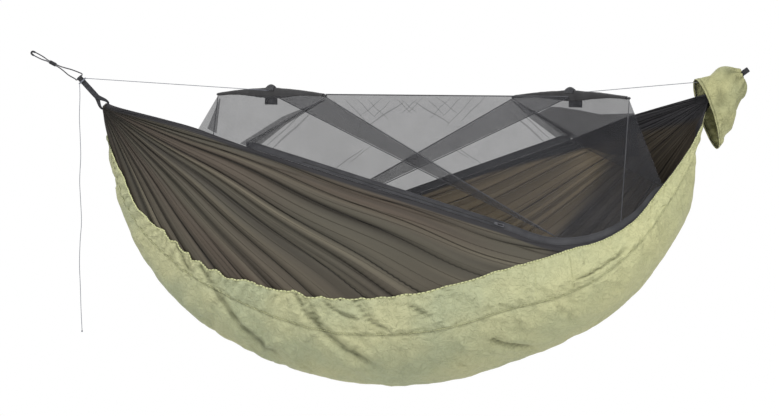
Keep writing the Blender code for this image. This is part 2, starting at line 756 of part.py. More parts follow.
def arched(path, half_width, half_height, count):
    """Rings over the upper half of a path only, foot to foot."""
    side, up = frame_of(path)[1:]
    angle = np.linspace(0, math.pi, count)[None, :, None]
    return path[:, None, :] + side[:, None, :] * half_width * np.cos(angle) \
        + up[:, None, :] * half_height * np.sin(angle)


def make_rods():
    for side, middle in (("left", LEFT_ROD), ("right", RIGHT_ROD)):
        path = rod_path(middle, 15)
        whole = lengths(path)[-1]
        loft(side + "_spreader_rod", round_rings(path, ROD_RADIUS, ROD_RADIUS, 10), ROD_GREY)

        cover = trimmed(path, CAP_LENGTH, CAP_LENGTH, 13)
        height = sleeve_half_height(np.linspace(0, 1, len(cover)))
        bored(side + "_rod_sleeve", round_rings(cover, SLEEVE_HALF_WIDTH, height, 12),
              round_rings(cover, SLEEVE_BORE, SLEEVE_BORE, 12), BLACK)

        saddle = trimmed(path, (whole - LOOP_LENGTH) / 2, (whole - LOOP_LENGTH) / 2, 5)
        wide, high = SLEEVE_HALF_WIDTH + GAP, SLEEVE_MID_HEIGHT + GAP
        sheet(side + "_hanger_loop", arched(saddle, wide, high, 9),
              arched(saddle, wide + LOOP_WALL, high + LOOP_WALL, 9), BLACK)

        make_caps(side, path)


def make_caps(side, path):
    """End caps: a rounded plug over each rod end, its bore open towards the sleeve."""
    width = CAP_RADIUS * np.array(CAP_WIDTH_SHARES)
    for end, line in (("near", path), ("far", path[::-1])):
        heading = unit(line[1] - line[0])
        mouth = line[0] + heading * (CAP_BORE_DEPTH - GAP)
        tip = line[0] - heading * (CAP_LENGTH - CAP_BORE_DEPTH)
        skin = tip + (mouth - tip) * np.array(CAP_STATION_SHARES)[:, None]
        bore = np.stack([mouth, line[0] - heading * GAP])
        side_way = unit(np.cross(heading, [0.0, 0.0, 1.0]))
        up = np.cross(side_way, heading)
        outer = ellipse_rings(skin, side_way, up, width, width, 12)
        inner = ellipse_rings(bore, side_way, up, ROD_RADIUS + GAP, ROD_RADIUS + GAP, 12)
        loft(side + "_" + end + "_rod_cap", np.concatenate([outer, inner]), PLASTIC)


def make_tabs():
    """Patches that hang from the net's join under both rods, in line with the rod."""
    for side, middle, shift in (("left", LEFT_ROD, 0.0), ("right", RIGHT_ROD, RIGHT_TAB_SHIFT)):
        path = rod_path(middle, 21)
        whole = lengths(path)[-1]
        trim = (whole - TAB_WIDTH * ROD_LENGTH / ROD_RUN) / 2
        top = trimmed(path, trim - shift, trim + shift, 4)
        top[:, 2] -= SLEEVE_MID_HEIGHT + SEAT + TAPE_RADIUS + TAB_DROP
        foot = top - [0.0, 0.0, TAB_HEIGHT]
        thick(side + "_hanger_tab", np.stack([top, foot]), TAB_WALL, BLACK)


# Webbing, channels and knots

class Hang:
    """Places near one end of the hammock: run from the webbing's tip towards the gather,
    rise across it in the side view, out towards +Y."""

    def __init__(self, tip, gather, mirror):
        self.tip = np.array([tip[0], 0.0, tip[1]])
        reach = np.array([gather[0], 0.0, gather[1]]) - self.tip
        self.length = float(np.linalg.norm(reach)) - GATHER_OFFSET
        self.run = unit(reach)
        self.rise = np.array([-self.run[2], 0.0, self.run[0]]) * mirror
        self.out = np.array([0.0, 1.0, 0.0])

    def place(self, points):
        points = np.asarray(points, float)
        axes = np.stack([self.run, self.rise, self.out])
        return self.tip + points @ axes

    def turn(self, vectors):
        return np.asarray(vectors, float) @ np.stack([self.run, self.rise, self.out])


def strap_half(hang, radius, face_run):
    """Front half of the strap: its middle line, the way its width points, and its width.

    It stays flat from the bight to face_run, and is then drawn in to the other layer.
    """
    flat = LAYER_GAP / 2 + STRAP_THICKNESS / 2
    nose = radius - STRAP_THICKNESS / 2
    face_run = max(face_run, nose)
    narrow = STRAP_NARROW
    leg_rise = CHANNEL_LENGTH / 2 + LEG_BEND
    leg_end = hang.length - LEG_BEND
    splay = BIGHT_LENGTH + (leg_end - BIGHT_LENGTH) * LEG_SPLIT_SHARE
    rows = []
    for a in np.linspace(0, math.pi / 2, 6):
        rows.append((nose - nose * math.cos(a), 0.0, -nose * math.sin(a), 0.0, 1.0, STRAP_WIDTH))
    if face_run > nose:
        rows.append((face_run, 0.0, -nose, 0.0, 1.0, STRAP_WIDTH))
    for e in np.linspace(0, 1, 7)[1:]:
        drawn = (1 - e) ** 2 * (1 + 2 * e)
        rows.append((face_run + e * (BIGHT_LENGTH - face_run), 0.0, -flat - (nose - flat) * drawn,
                     0.0, 1.0, STRAP_WIDTH))
    rows.append((splay, 0.0, -flat, 0.0, 1.0, STRAP_WIDTH))
    for e in np.linspace(0, 1, 7)[1:]:
        slope = leg_rise * 6 * e * (1 - e) / (leg_end - splay)
        lean = math.atan(slope)
        width = STRAP_WIDTH + (narrow - STRAP_WIDTH) * e
        rows.append((splay + (leg_end - splay) * e, leg_rise * e * e * (3 - 2 * e), -flat,
                     -math.sin(lean), math.cos(lean), width))
    for a in np.linspace(0, math.pi / 2, 5)[1:]:
        rows.append((leg_end + LEG_BEND * math.sin(a), leg_rise - LEG_BEND * (1 - math.cos(a)), -flat,
                     math.sin(a), math.cos(a), narrow))
    inner = leg_rise - LEG_BEND
    rows.append((hang.length, inner / 2, -flat / 2, 1.0, 0.0, narrow))
    return np.array(rows)


def make_strap(side, hang, radius, face_run=0.0):
    """The whole strap: the front half, the middle of the channel, the front half turned over."""
    front = strap_half(hang, radius, face_run)
    middle = np.array([[hang.length, 0.0, 0.0, 1.0, 0.0, STRAP_NARROW]])
    back = front[:0:-1] * [1, -1, -1, 1, -1, 1]
    rows = np.concatenate([front, middle, back])
    path = hang.place(rows[:, :3])
    heading = tangents(path, cyclic=True)
    width_way = hang.turn(np.stack([rows[:, 3], rows[:, 4], np.zeros(len(rows))], axis=-1))
    width_way = unit(width_way - heading * np.sum(width_way * heading, axis=1)[:, None])
    thick_way = np.cross(heading, width_way)
    half_width = (rows[:, 5] / 2)[:, None]
    half_wall = STRAP_THICKNESS / 2
    corners = [(1, 1), (-1, 1), (-1, -1), (1, -1)]
    rings = np.stack([path + width_way * half_width * a + thick_way * half_wall * b for a, b in corners], axis=1)
    loft(side + "_webbing_loop", rings, BLACK, cyclic=True, twist=2)


def make_channel(side, hang):
    """Gathered channel of the cloth: a short ruched tube round the strap."""
    count = 7
    along = np.linspace(-CHANNEL_LENGTH / 2, CHANNEL_LENGTH / 2, count)
    path = hang.place(np.stack([np.full(count, hang.length), along, np.zeros(count)], axis=-1))
    ruche = 1 + RUCHE_SHARE * np.cos(np.arange(count) * math.pi)
    outer = (CHANNEL_BORE + CHANNEL_WALL) * ruche
    bored(side + "_gathered_channel",
          ellipse_rings(path, hang.run, hang.out, outer, outer, 12),
          ellipse_rings(path, hang.run, hang.out, CHANNEL_BORE, CHANNEL_BORE, 12), BROWN)


def layer_out(run, radius):
    """How far the strap's outer face stands out at a run from its tip."""
    flat = LAYER_GAP / 2 + STRAP_THICKNESS / 2
    nose = radius - STRAP_THICKNESS / 2
    e = min(max((run - nose) / (BIGHT_LENGTH - nose), 0.0), 1.0)
    return flat + (nose - flat) * (1 - e) ** 2 * (1 + 2 * e) + STRAP_THICKNESS / 2


def make_knot(side, hang, run, radius, beads):
    """Cord knotted round the strap, with a lump where each free end leaves."""
    off = KNOT_RADIUS + SEAT
    face = layer_out(run - KNOT_RADIUS * KNOT_RUN_SHARE, radius)
    turn, lumps = [], []
    for quarter, (a, b) in enumerate(((1, 1), (-1, 1), (-1, -1), (1, -1))):
        for angle in np.linspace(quarter, quarter + 1, 4) * math.pi / 2:
            turn.append((0.0, a * STRAP_WIDTH / 2 + off * math.cos(angle), b * face + off * math.sin(angle)))
            lumps.append(False)
        if quarter % 2:
            turn.append((0.0, a * (STRAP_WIDTH / 2 + off), 0.0))
            lumps.append(a in beads)
    turn, lumps = np.array(turn), np.array(lumps)
    high = np.where(lumps, KNOT_BEAD, KNOT_RADIUS)
    turn[:, 1] += np.where(lumps, np.sign(turn[:, 1]) * (KNOT_BEAD - KNOT_RADIUS), 0.0)
    path = hang.place(turn + [run, 0.0, 0.0])
    away = unit(np.cross(tangents(path, cyclic=True), hang.run))
    rings = ellipse_rings(path, hang.run, away, np.maximum(high, KNOT_FLAT_SHARE * KNOT_RADIUS), high, 8)
    loft(side + "_ridge_knot", rings, CORD_GREY, cyclic=True)
    return STRAP_WIDTH / 2 + off + KNOT_BEAD - KNOT_RADIUS


def make_lines(left, right, bead_rise):
    """Ridge line from each knot to the hanger loop over the nearer rod, and the tail."""
    for side, hang, run, middle in (("left", left, LEFT_KNOT_RUN, LEFT_ROD), ("right", right, RIGHT_KNOT_RUN, RIGHT_ROD)):
        bead = hang.place([run, bead_rise, 0.0])
        goal = rod_ends(middle)[1]
        toward = unit(goal - bead)
        start = bead + toward * (KNOT_BEAD + GAP)
        reach = (SLEEVE_HALF_WIDTH + GAP + LOOP_WALL) / math.cos(math.atan2(ROD_RUN, 2 * abs(rod_ends(middle)[0][1])))
        end = goal - toward * (reach + LINE_RADIUS)
        cord(side + "_ridge_line", evenly(np.stack([start, end]), 12), LINE_RADIUS, CORD_GREY, resolution=1)
    leave = left.place([LEFT_KNOT_RUN, -bead_rise, 0.0]) - [0.0, 0.0, KNOT_BEAD + GAP]
    route = smooth(leave + np.array(TAIL_ROUTE), 12)
    path = evenly(route, 78)
    cord("tail_cord", path, TAIL_RADIUS, CORD_GREY, resolution=2)
    end = path[-1] - [0.0, 0.0, TAIL_KNOT_RADIUS + GAP]
    solid("tail_knot", *ball(end, TAIL_KNOT_RADIUS), CORD_GREY)


# Suspension rope

def rope_route(hang):
    """Endless rope: eye, laid pair, and the loop through the bight of the webbing."""
    heading = unit(hang.tip)
    across = np.array([-heading[2], 0.0, heading[0]])
    pair = ROPE_RADIUS + ROPE_PAIR_GAP / 2
    nose_along, nose_across = EYE_NOSE_SHARES
    upper = [(-EYE_NOSE, 0.0), (-EYE_NOSE * nose_along, EYE_HALF_WIDTH * nose_across),
             (EYE_HALF_WIDTH, EYE_HALF_WIDTH)]
    upper += [(EYE_LENGTH * a, EYE_HALF_WIDTH * b) for a, b in EYE_SIDE_SHARES]
    upper += [(EYE_LENGTH, pair), ((EYE_LENGTH + ROPE_SPLIT) / 2, pair), (ROPE_SPLIT, pair)]
    upper += [(ROPE_SPLIT + EYE_LENGTH * a, pair * b) for a, b in SPLIT_SHARES]
    edge = STRAP_WIDTH / 2 + ROPE_RADIUS
    before, beside, seated = TURN_ALONG_SHARES
    out_shares = TURN_OUT_SHARES
    bight = [
        (-ROPE_RADIUS * before, edge + ROPE_RADIUS * out_shares[0]),
        (ROPE_RADIUS * beside, edge + ROPE_RADIUS * out_shares[1]),
        (ROPE_SEAT * seated, edge + ROPE_RADIUS * out_shares[2]),
        (ROPE_SEAT, edge - ROPE_RADIUS * out_shares[3]),
    ]
    top = [heading * a + across * b for a, b in upper]
    low = [heading * a - across * b for a, b in upper]
    round_top = [hang.place([a, b, 0.0]) for a, b in bight]
    round_low = [hang.place([a, -b, 0.0]) for a, b in bight]
    middle = hang.place([ROPE_SEAT, 0.0, 0.0])
    return top + round_top + [middle] + round_low[::-1] + low[:0:-1], heading, across


def make_rope(hang):
    points, heading, across = rope_route(hang)
    count = len(points)
    wrapped = smooth(np.array(points[-3:] + points + points[:3]), 10)[30:30 + count * 10]
    path = evenly(np.vstack([wrapped, wrapped[:1]]), 81)[:-1]
    cord("left_suspension_rope", path, ROPE_RADIUS, BLACK, cyclic=True, resolution=2)

    run = lengths(path)
    whole = run[-1] + np.linalg.norm(path[0] - path[-1])
    around = np.linspace(-EYE_SLEEVE_REACH, EYE_SLEEVE_REACH, 11) % whole
    closed = np.vstack([path, path[:1]])
    eye = at_lengths(closed, around)
    eye_heading = tangents(eye)
    side = np.broadcast_to([0.0, 1.0, 0.0], eye.shape)
    up = unit(np.cross(eye_heading, side))
    bore = ROPE_RADIUS + SEAT
    bored("left_eye_sleeve", ellipse_rings(eye, side, up, bore + EYE_SLEEVE_WALL, bore + EYE_SLEEVE_WALL, 12),
          ellipse_rings(eye, side, up, bore, bore, 12), BLACK)

    middle = heading * (EYE_LENGTH + ROPE_SPLIT) / 2
    ends = np.stack([middle - heading * WHIPPING_LENGTH / 2, middle + heading * WHIPPING_LENGTH / 2])
    wide, high = ROPE_RADIUS + SEAT, 2 * ROPE_RADIUS + ROPE_PAIR_GAP / 2 + 2 * SEAT
    out = np.array([0.0, 1.0, 0.0])
    outer_wide, inner_wide = ((wide + wall) * WHIPPING_WIDTH_SHARE for wall in (WHIPPING_WALL, 0.0))
    bored("left_rope_whipping",
          ellipse_rings(ends, out, across, outer_wide, high + WHIPPING_WALL, 14),
          ellipse_rings(ends, out, across, inner_wide, high, 14), BLACK)


# Stuff sack

def sack_rings(count):
    """Sections of the sack round the right gather, its mouth leaning towards the far side."""
    tip = np.array([RIGHT_TIP[0], 0.0, RIGHT_TIP[1]])
    angle = np.linspace(0, 2 * math.pi, count, endpoint=False)
    rings = []
    for k, (top_x, top_z, foot_x, foot_z, depth) in enumerate(SACK_SECTION_SHARES):
        top = tip + np.array([top_x, 0.0, top_z]) * SACK_HEIGHT
        foot = tip + np.array([foot_x, 0.0, foot_z]) * SACK_HEIGHT
        lean = SACK_LEAN * SACK_LEAN_SHARES[k]
        ring = (top + foot) / 2 + np.cos(angle)[:, None] * (top - foot) / 2
        ring[:, 1] += np.sin(angle) * depth * SACK_HALF_DEPTH
        ring[:, 0] -= np.sin(angle) * lean
        rings.append(ring)
    return np.array(rings)


def make_sack():
    rings = sack_rings(22)
    steps = unit(np.diff(rings, axis=0))
    along = np.concatenate([steps[:1], steps[1:] + steps[:-1], steps[-1:]])
    across = np.roll(rings, -1, axis=1) - np.roll(rings, 1, axis=1)
    out = unit(np.cross(across, along))
    out = out * np.sign(np.sum(out[1] * (rings[1] - rings[1].mean(axis=0))))
    inner = rings - out * SACK_WALL
    bored("stuff_sack", rings, inner, SACK_OLIVE)
    lip = inner[0] + (inner[1] - inner[0]) * SACK_LIP_SHARE - out[0] * (SACK_CORD_RADIUS + SEAT)
    cord("sack_drawcord", lip, SACK_CORD_RADIUS, BLACK, cyclic=True, resolution=1)


# Entry zip

def zip_line():
    """Middle of the near hem band over the cloth rows where the edge runs straight."""
    along = EDGE_AT_ROWS[:, 0] / CLOTH_LENGTH
    rows = ROW_SHARES[(along > ZIP_START_SHARE) & (along < ZIP_END_SHARE)]
    line = world(hem_line(rows[[0, -1]], HEM_HEIGHT / 2))
    heading = unit(line[0] - line[1])
    out = unit(np.cross([0.0, 0.0, 1.0], heading))
    out = out if out[1] < 0 else -out
    return line[1], line[0], heading, np.cross(heading, out) * np.sign(np.cross(heading, out)[2]), out


def make_zip():
    """Teeth on the hem band, a slider that straddles them, and a pull under its bridge."""
    low, high, heading, up, out = zip_line()
    face = HEM_WALL / 2 + GAP
    length = float(np.linalg.norm(high - low))
    axes = (heading, up, out)
    teeth = block((low + high) / 2 + out * (face + ZIP_TEETH_DEPTH / 2), axes,
                  (length, ZIP_TEETH_HEIGHT, ZIP_TEETH_DEPTH))
    solid("entry_zip_teeth", *teeth, BLACK, None)

    centre = low + heading * SLIDER_LENGTH
    inner = ZIP_TEETH_HEIGHT / 2 + 2 * GAP
    outer = inner + SLIDER_WALL
    back = face + GAP
    roof = face + ZIP_TEETH_DEPTH + 2 * GAP
    crown = roof + SLIDER_WALL
    profile = [(-outer, back), (-inner, back), (-inner, roof), (inner, roof),
               (inner, back), (outer, back), (outer, crown), (-outer, crown)]
    ring = np.array([up * a + out * b for a, b in profile])
    half = heading * SLIDER_LENGTH / 2
    slider = solid("zip_slider", *ring_body(np.stack([centre - half + ring, centre + half + ring])),
                   ROD_GREY, None)

    pin_out = crown + PULL_PIN_RADIUS + 2 * GAP
    ceiling = pin_out + PULL_PIN_RADIUS + GAP
    reach = BRIDGE_SPAN / 2
    foot = crown - SLIDER_WALL / 2
    profile = [(-reach, foot), (BRIDGE_WALL - reach, foot), (BRIDGE_WALL - reach, ceiling),
               (reach - BRIDGE_WALL, ceiling), (reach - BRIDGE_WALL, foot), (reach, foot),
               (reach, ceiling + BRIDGE_WALL), (-reach, ceiling + BRIDGE_WALL)]
    ring = centre + np.array([heading * a + out * b for a, b in profile])
    side = up * BRIDGE_WIDTH / 2
    bridge = solid("slider_bridge", *ring_body(np.stack([ring - side, ring + side])), ROD_GREY, None)
    cut_or_join(slider, bridge, "UNION")

    pin = centre + out * pin_out
    bend = 2 * PULL_PIN_RADIUS
    across, along = PULL_WIDTH / 2 - bend, PULL_LENGTH - bend
    corners = ((0, across, 0), (1, across, along - bend), (2, -across, along - bend), (3, -across, 0))
    path = []
    for quarter, a, b in corners:
        for angle in np.linspace(quarter, quarter + 1, 4) * math.pi / 2 - math.pi / 2:
            path.append((a + bend * math.cos(angle), b + bend * math.sin(angle) + bend))
    path = pin + np.array([up * a - heading * b for a, b in path])
    away = unit(np.cross(tangents(path, cyclic=True), out))
    rings = ellipse_rings(path, away, out, PULL_PIN_RADIUS, PULL_PIN_RADIUS, 8)
    solid("zip_pull", *ring_body(rings, cyclic=True), ROD_GREY)
    return centre, pin


def make_sides():
    left = Hang(LEFT_BIGHT, LEFT_GATHER, 1)
    right = Hang(RIGHT_TIP, RIGHT_GATHER, -1)
    make_strap("left", left, LEFT_BIGHT_RADIUS)
    make_strap("right", right, RIGHT_BIGHT_RADIUS, RIGHT_FACE_RUN)
    make_channel("left", left)
    make_channel("right", right)
    bead_rise = make_knot("left", left, LEFT_KNOT_RUN, LEFT_BIGHT_RADIUS, (1, -1))
    make_knot("right", right, RIGHT_KNOT_RUN, RIGHT_BIGHT_RADIUS, (1,))
    make_lines(left, right, bead_rise)
    make_rope(left)
    return left.place([ROPE_SEAT, 0.0, 0.0])


def carried(name, place, pieces):
    """An empty on a joint's axis that carries the pieces which move there."""
    holder = bpy.data.objects.new(name, None)
    holder.location = place
    bpy.context.collection.objects.link(holder)
    for piece in pieces:
        piece.parent = holder
        piece.matrix_parent_inverse = Matrix.Translation(holder.location).inverted()
    return holder


def hang_together(bight_place, slider_place, pin_place):
    """Carry each moving body by an empty: pull on slider, slider and sack on the hammock."""
    known = bpy.data.objects
    fixed = ("left_suspension_rope", "left_eye_sleeve", "left_rope_whipping")
    moving = ("stuff_sack", "sack_drawcord", "zip_slider", "slider_bridge", "zip_pull")
    body = [piece for piece in known if piece.name not in fixed + moving]
    pull = carried("pull_hinge", pin_place, [known["zip_pull"]])
    slider = carried("slider_travel", slider_place, [known["zip_slider"], known["slider_bridge"], pull])
    tip = (RIGHT_TIP[0], 0.0, RIGHT_TIP[1])
    sack = carried("sack_travel", tip, [known["stuff_sack"], known["sack_drawcord"]])
    carried("hammock_swing", bight_place, body + [slider, sack])


def build():
    clear_scene()
    make_cloth()
    make_quilt()
    make_net()
    make_rods()
    make_tabs()
    bight_place = make_sides()
    make_sack()
    slider_place, pin_place = make_zip()
    hang_together(bight_place, slider_place, pin_place)


build()
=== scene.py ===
import math

import bmesh
import bpy
import numpy as np
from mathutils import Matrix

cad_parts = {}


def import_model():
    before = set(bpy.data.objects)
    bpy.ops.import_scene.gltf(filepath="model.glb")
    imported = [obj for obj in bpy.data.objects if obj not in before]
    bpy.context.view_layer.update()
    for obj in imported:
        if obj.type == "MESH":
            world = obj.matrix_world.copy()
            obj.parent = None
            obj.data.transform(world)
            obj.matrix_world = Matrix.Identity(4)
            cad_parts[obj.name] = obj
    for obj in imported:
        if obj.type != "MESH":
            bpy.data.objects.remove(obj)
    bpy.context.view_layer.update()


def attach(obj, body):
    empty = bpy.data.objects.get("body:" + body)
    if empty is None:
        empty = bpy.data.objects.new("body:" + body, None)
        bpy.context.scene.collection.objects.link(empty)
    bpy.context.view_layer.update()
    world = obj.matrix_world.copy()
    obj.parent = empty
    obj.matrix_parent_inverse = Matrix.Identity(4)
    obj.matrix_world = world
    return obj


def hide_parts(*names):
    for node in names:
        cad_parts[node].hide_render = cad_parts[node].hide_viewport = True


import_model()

TAU = 2 * math.pi

# Sizes, as the solids have them
LEFT_BIGHT, LEFT_GATHER = (0.171, -0.089), (0.277, -0.205)
RIGHT_GATHER, RIGHT_TIP = (2.522, -0.160), (2.660, -0.061)
CLOTH_LENGTH = RIGHT_GATHER[0] - LEFT_GATHER[0]
EDGE_DROP, EDGE_REACH, CLOTH_DEPTH, BELLY, CLOTH_WALL = 0.539, 0.30, 1.020, 0.115, 0.0020
GATHER_LENGTH, GATHER_HALF_WIDTH, GATHER_OFFSET = 0.026, 0.0090, 0.0095
QUILT_HEM_WALL, QUILT_AIR, HEM_BEAD = 0.0040, 0.0030, 0.0035
NET_SAG, HEM_HEIGHT, HEM_WALL = 0.010, 0.028, 0.0012
TAPE_RADIUS, HEM_OVERRUN, HEM_SEAT = 0.0015, 0.004, 0.0011
ZIP_TEETH_HEIGHT, ZIP_TEETH_DEPTH = 0.0050, 0.0022
ROD_LENGTH, ROD_RUN, ROD_ARCH = 0.80, 0.414, 0.016
LEFT_ROD, RIGHT_ROD = (0.886, -0.156), (1.998, -0.166)
SLEEVE_BORE, SLEEVE_HALF_WIDTH = 0.0038, 0.0060
SLEEVE_END_HEIGHT, SLEEVE_MID_HEIGHT = 0.0062, 0.0130
CAP_LENGTH, LOOP_LENGTH, LOOP_WALL = 0.016, 0.060, 0.0020
TAB_WIDTH, TAB_HEIGHT, TAB_WALL, TAB_DROP, RIGHT_TAB_SHIFT = 0.048, 0.036, 0.0014, 0.0008, 0.036
STRAP_WIDTH, STRAP_NARROW, STRAP_THICKNESS = 0.020, 0.0085, 0.0024
LEFT_BIGHT_RADIUS, RIGHT_BIGHT_RADIUS = 0.0085, 0.0040
BIGHT_LENGTH, RIGHT_FACE_RUN = 0.035, 0.024
LAYER_GAP, LEG_BEND, LEG_SPLIT_SHARE = 0.0020, 0.0066, 0.55
CHANNEL_LENGTH, CHANNEL_BORE, CHANNEL_WALL = 0.020, 0.0062, 0.0014
ROPE_RADIUS, ROPE_PAIR_GAP, ROPE_SPLIT = 0.0022, 0.0008, 0.108
EYE_NOSE, EYE_HALF_WIDTH, EYE_LENGTH = 0.0050, 0.0062, 0.060
EYE_SLEEVE_WALL, EYE_SLEEVE_REACH, WHIPPING_LENGTH = 0.0012, 0.016, 0.026
LINE_RADIUS, KNOT_RADIUS, KNOT_BEAD = 0.0012, 0.0014, 0.0036
LEFT_KNOT_RUN, RIGHT_KNOT_RUN = 0.020, 0.085
TAIL_RADIUS, TAIL_KNOT_RADIUS = 0.0012, 0.0034
SACK_HEIGHT, SACK_HALF_DEPTH, SACK_LEAN = 0.2965, 0.062, 0.024
SACK_WALL, SACK_CORD_RADIUS = 0.0022, 0.0016
GAP, SEAT, ROWS = 0.0003, 0.0007, 21

EDGE_ALONG_SHARES = (
    0.004, 0.143, 0.22, 0.29, 0.34, 0.70, 0.742, 0.80, 0.855, 0.904, 0.956, 0.98, 0.997)
EDGE_DROP_SHARES = (
    -0.02, 0.142, 0.268, 0.3665, 0.4367, 0.9417, 1.0, 0.97, 0.872, 0.655, 0.39, 0.226, 0.0)
EDGE_REACH_SHARES = (
    0.0, 0.193, 0.2965, 0.3908, 0.4582, 0.9434, 0.985, 0.97, 0.88, 0.70, 0.40, 0.22, 0.0)
# Near hem of the under layer: row shares, and shares of the way from edge to bottom
HEM_LINE = (
    (0.0, 0.035, 0.08, 0.13, 0.17, 0.233, 0.29, 0.33,
     0.37, 0.41, 0.478, 0.512, 0.59, 0.675, 0.73, 1.0),
    (0.985, 0.975, 0.88, 0.86, 0.79, 0.76, 0.71, 0.66,
     0.635, 0.595, 0.50, 0.44, 0.28, 0.07, 0.05, 0.05))
CORNER_SHARE, SHORT_SEAM_SHARE, UPRIGHT_SEAM_SHARE, NET_END_SHARE = 0.742, 0.233, 0.846, 0.915
ZIP_START_SHARE, ZIP_END_SHARE = 0.29, 0.70
# The sack's sections as shares of its height: top and foot, each along and up from the
# tip, then the share of its half depth, and how far each leans towards the far side
SACK_SECTION_SHARES = (
    (-0.665, -0.125, -0.389, -1.000, 0.89),
    (-0.520, -0.084, -0.289, -0.875, 1.00),
    (-0.364, 0.009, -0.176, -0.724, 1.00),
    (-0.213, 0.016, -0.113, -0.486, 0.84),
    (-0.113, -0.003, -0.038, -0.322, 0.58),
    (-0.108, -0.012, -0.026, -0.200, 0.38),
    (-0.1203, -0.0323, -0.0687, -0.1027, 0.125))
SACK_LEAN_SHARES = (1.0, 0.45, 0.1, 0.0, 0.0, 0.0, 0.0)
TAIL_ROUTE = (
    (0.0, 0.0, 0.0), (0.0005, 0.0, -0.012), (0.001, 0.002, -0.050), (-0.001, 0.004, -0.120),
    (0.002, 0.000, -0.195), (0.004, -0.004, -0.270), (0.000, -0.003, -0.355),
    (0.003, 0.003, -0.430), (0.006, 0.005, -0.510), (0.001, 0.000, -0.590),
    (-0.001, -0.004, -0.670), (0.002, -0.002, -0.750), (0.004, 0.003, -0.830),
    (0.008, 0.002, -0.915))

# Soft form that only this script has. How far the lowest line is drawn in near the
# gathers, and where it is higher: row share, width as a share, and rise
QUILT_LOFT, LEFT_DRAW, RIGHT_DRAW, GATHER_FLARE = 0.0140, 0.010, 0.052, 0.011
BOTTOM_RISES = ((0.33, 0.12, 0.018), (0.70, 0.11, 0.032), (0.60, 0.07, 0.024))
# The long quilting seam below the near hem, given as the hem is, and where two short
# seams run from it to the hem, metres along
SEAM_LINE = (
    (0.0, 0.10, 0.17, 0.22, 0.28, 0.34, 0.41, 0.48, 0.53, 0.60, 0.67, 0.74, 0.80, 0.88, 1.0),
    (0.992, 0.965, 0.90, 0.86, 0.82, 0.80, 0.775, 0.72, 0.67, 0.58, 0.52, 0.44, 0.39, 0.36, 0.36))
SHORT_QUILTING = (1.871, 1.990)
# Deep folds of the under layer in the side view, metres along and up: two wide, then narrow
QUILT_FOLDS = (
    ((0.606, -0.752), (0.665, -0.840), (0.720, -0.925),
     (0.790, -1.010), (0.870, -1.080), (0.975, -1.142)),
    ((0.970, -0.862), (1.010, -0.935), (1.057, -0.993),
     (1.142, -1.068), (1.216, -1.112), (1.320, -1.160)),
    ((0.986, -0.863), (1.030, -0.919), (1.075, -1.012)),
    ((1.075, -0.904), (1.142, -0.956), (1.224, -0.986)),
    ((1.179, -0.882), (1.261, -0.986), (1.335, -1.019)),
    ((1.391, -0.919), (1.477, -0.975)),
    ((1.690, -1.040), (1.760, -1.062), (1.870, -1.072)),
    ((1.990, -0.832), (2.072, -0.800), (2.150, -0.752), (2.215, -0.700)),
    ((0.510, -0.640), (0.560, -0.745), (0.600, -0.830)))
FOLD_DEPTH, WIDE_FOLD, NARROW_FOLD = 0.0130, 0.0135, 0.0085
GROOVE_DEPTH, GROOVE_WIDTH, PUCKER_HEIGHT, PUCKER_SPACING = 0.0055, 0.014, 0.0066, 0.037
# Its gathered hem: long and short steps along, and how far they go as a share across
HEM_SCALLOP, HEM_NOTCH, HEM_STEP_SHARE = 0.083, 0.031, 0.014
# The slanting line past which the cloth is painted charcoal as shade: a point in the side
# view and metres along for each metre up
END_SHADE_POINT, END_SHADE_SLOPE = (1.942, -0.696), 0.666
# Charcoal hem of the cloth: its width, and how much wider the charcoal is painted at the right end
HEM_WIDTH, HEM_WIDENING = 0.019, 0.070
# Wrinkles of the under layer, and its threads and how far they lie above the skin
WRINKLE_HEIGHT, FINE_WRINKLE_HEIGHT = 0.0040, 0.0030
SEAM_THREAD_RADIUS, SHORT_THREAD_RADIUS, THREAD_LIFT = 0.0009, 0.0008, 0.0004
# How far pleats and doubled net lie off the net, and the ridge tape. How high a hanger
# loop stands, how far a tab bows and its stitches lie in, and the teeth of the zip
PLEAT_LIFT, DOUBLED_LIFT, RIDGE_TAPE_RADIUS = 0.0012, 0.0022, 0.0022
LOOP_HUMP, TAB_BOW, TAB_STITCH_IN, ZIP_TEETH = 0.0085, 0.0012, 0.0045, 460
# Heights of the sack's long creases, of the puckers at its mouth and of its slack
SACK_PLEAT, SACK_MOUTH_PUCKER, SACK_SLACK = 0.0032, 0.0015, 0.004
# Length and girth on which the ripstop squares are laid out, metres
BODY_RUN, BODY_GIRTH, QUILT_RUN, QUILT_GIRTH, SACK_RUN, SACK_GIRTH = 2.6, 1.9, 2.9, 1.6, 0.30, 0.5
# What the finishes repeat: net holes, ribs, stitches and ripstop squares, metres
KNIT_PITCH, STITCH_PITCH, RIPSTOP_CELL = 0.0014, 0.0042, 0.006


# Curves and grids

def unit(vectors):
    """Vectors divided by their own lengths."""
    return vectors / np.linalg.norm(vectors, axis=-1, keepdims=True)


def stacked(*values):
    """Values side by side on a new last axis, single numbers spread over the others."""
    return np.stack(np.broadcast_arrays(*values), axis=-1)


def arch(share):
    """0 at 0 and 1, and 1 half way, as a sine."""
    return np.sin(math.pi * share)


def bell(distance, width):
    """1 at no distance, falling as exp(-(distance / width)^2)."""
    return np.exp(-(distance / width) ** 2)


def blunt(wave, power):
    """A wave from -1 to 1 whose size is raised to a power, so that it turns later."""
    return np.sign(wave) * np.abs(wave) ** power


def turns(count):
    """Even angles of one turn, its end left out."""
    return np.linspace(0, TAU, count, endpoint=False)


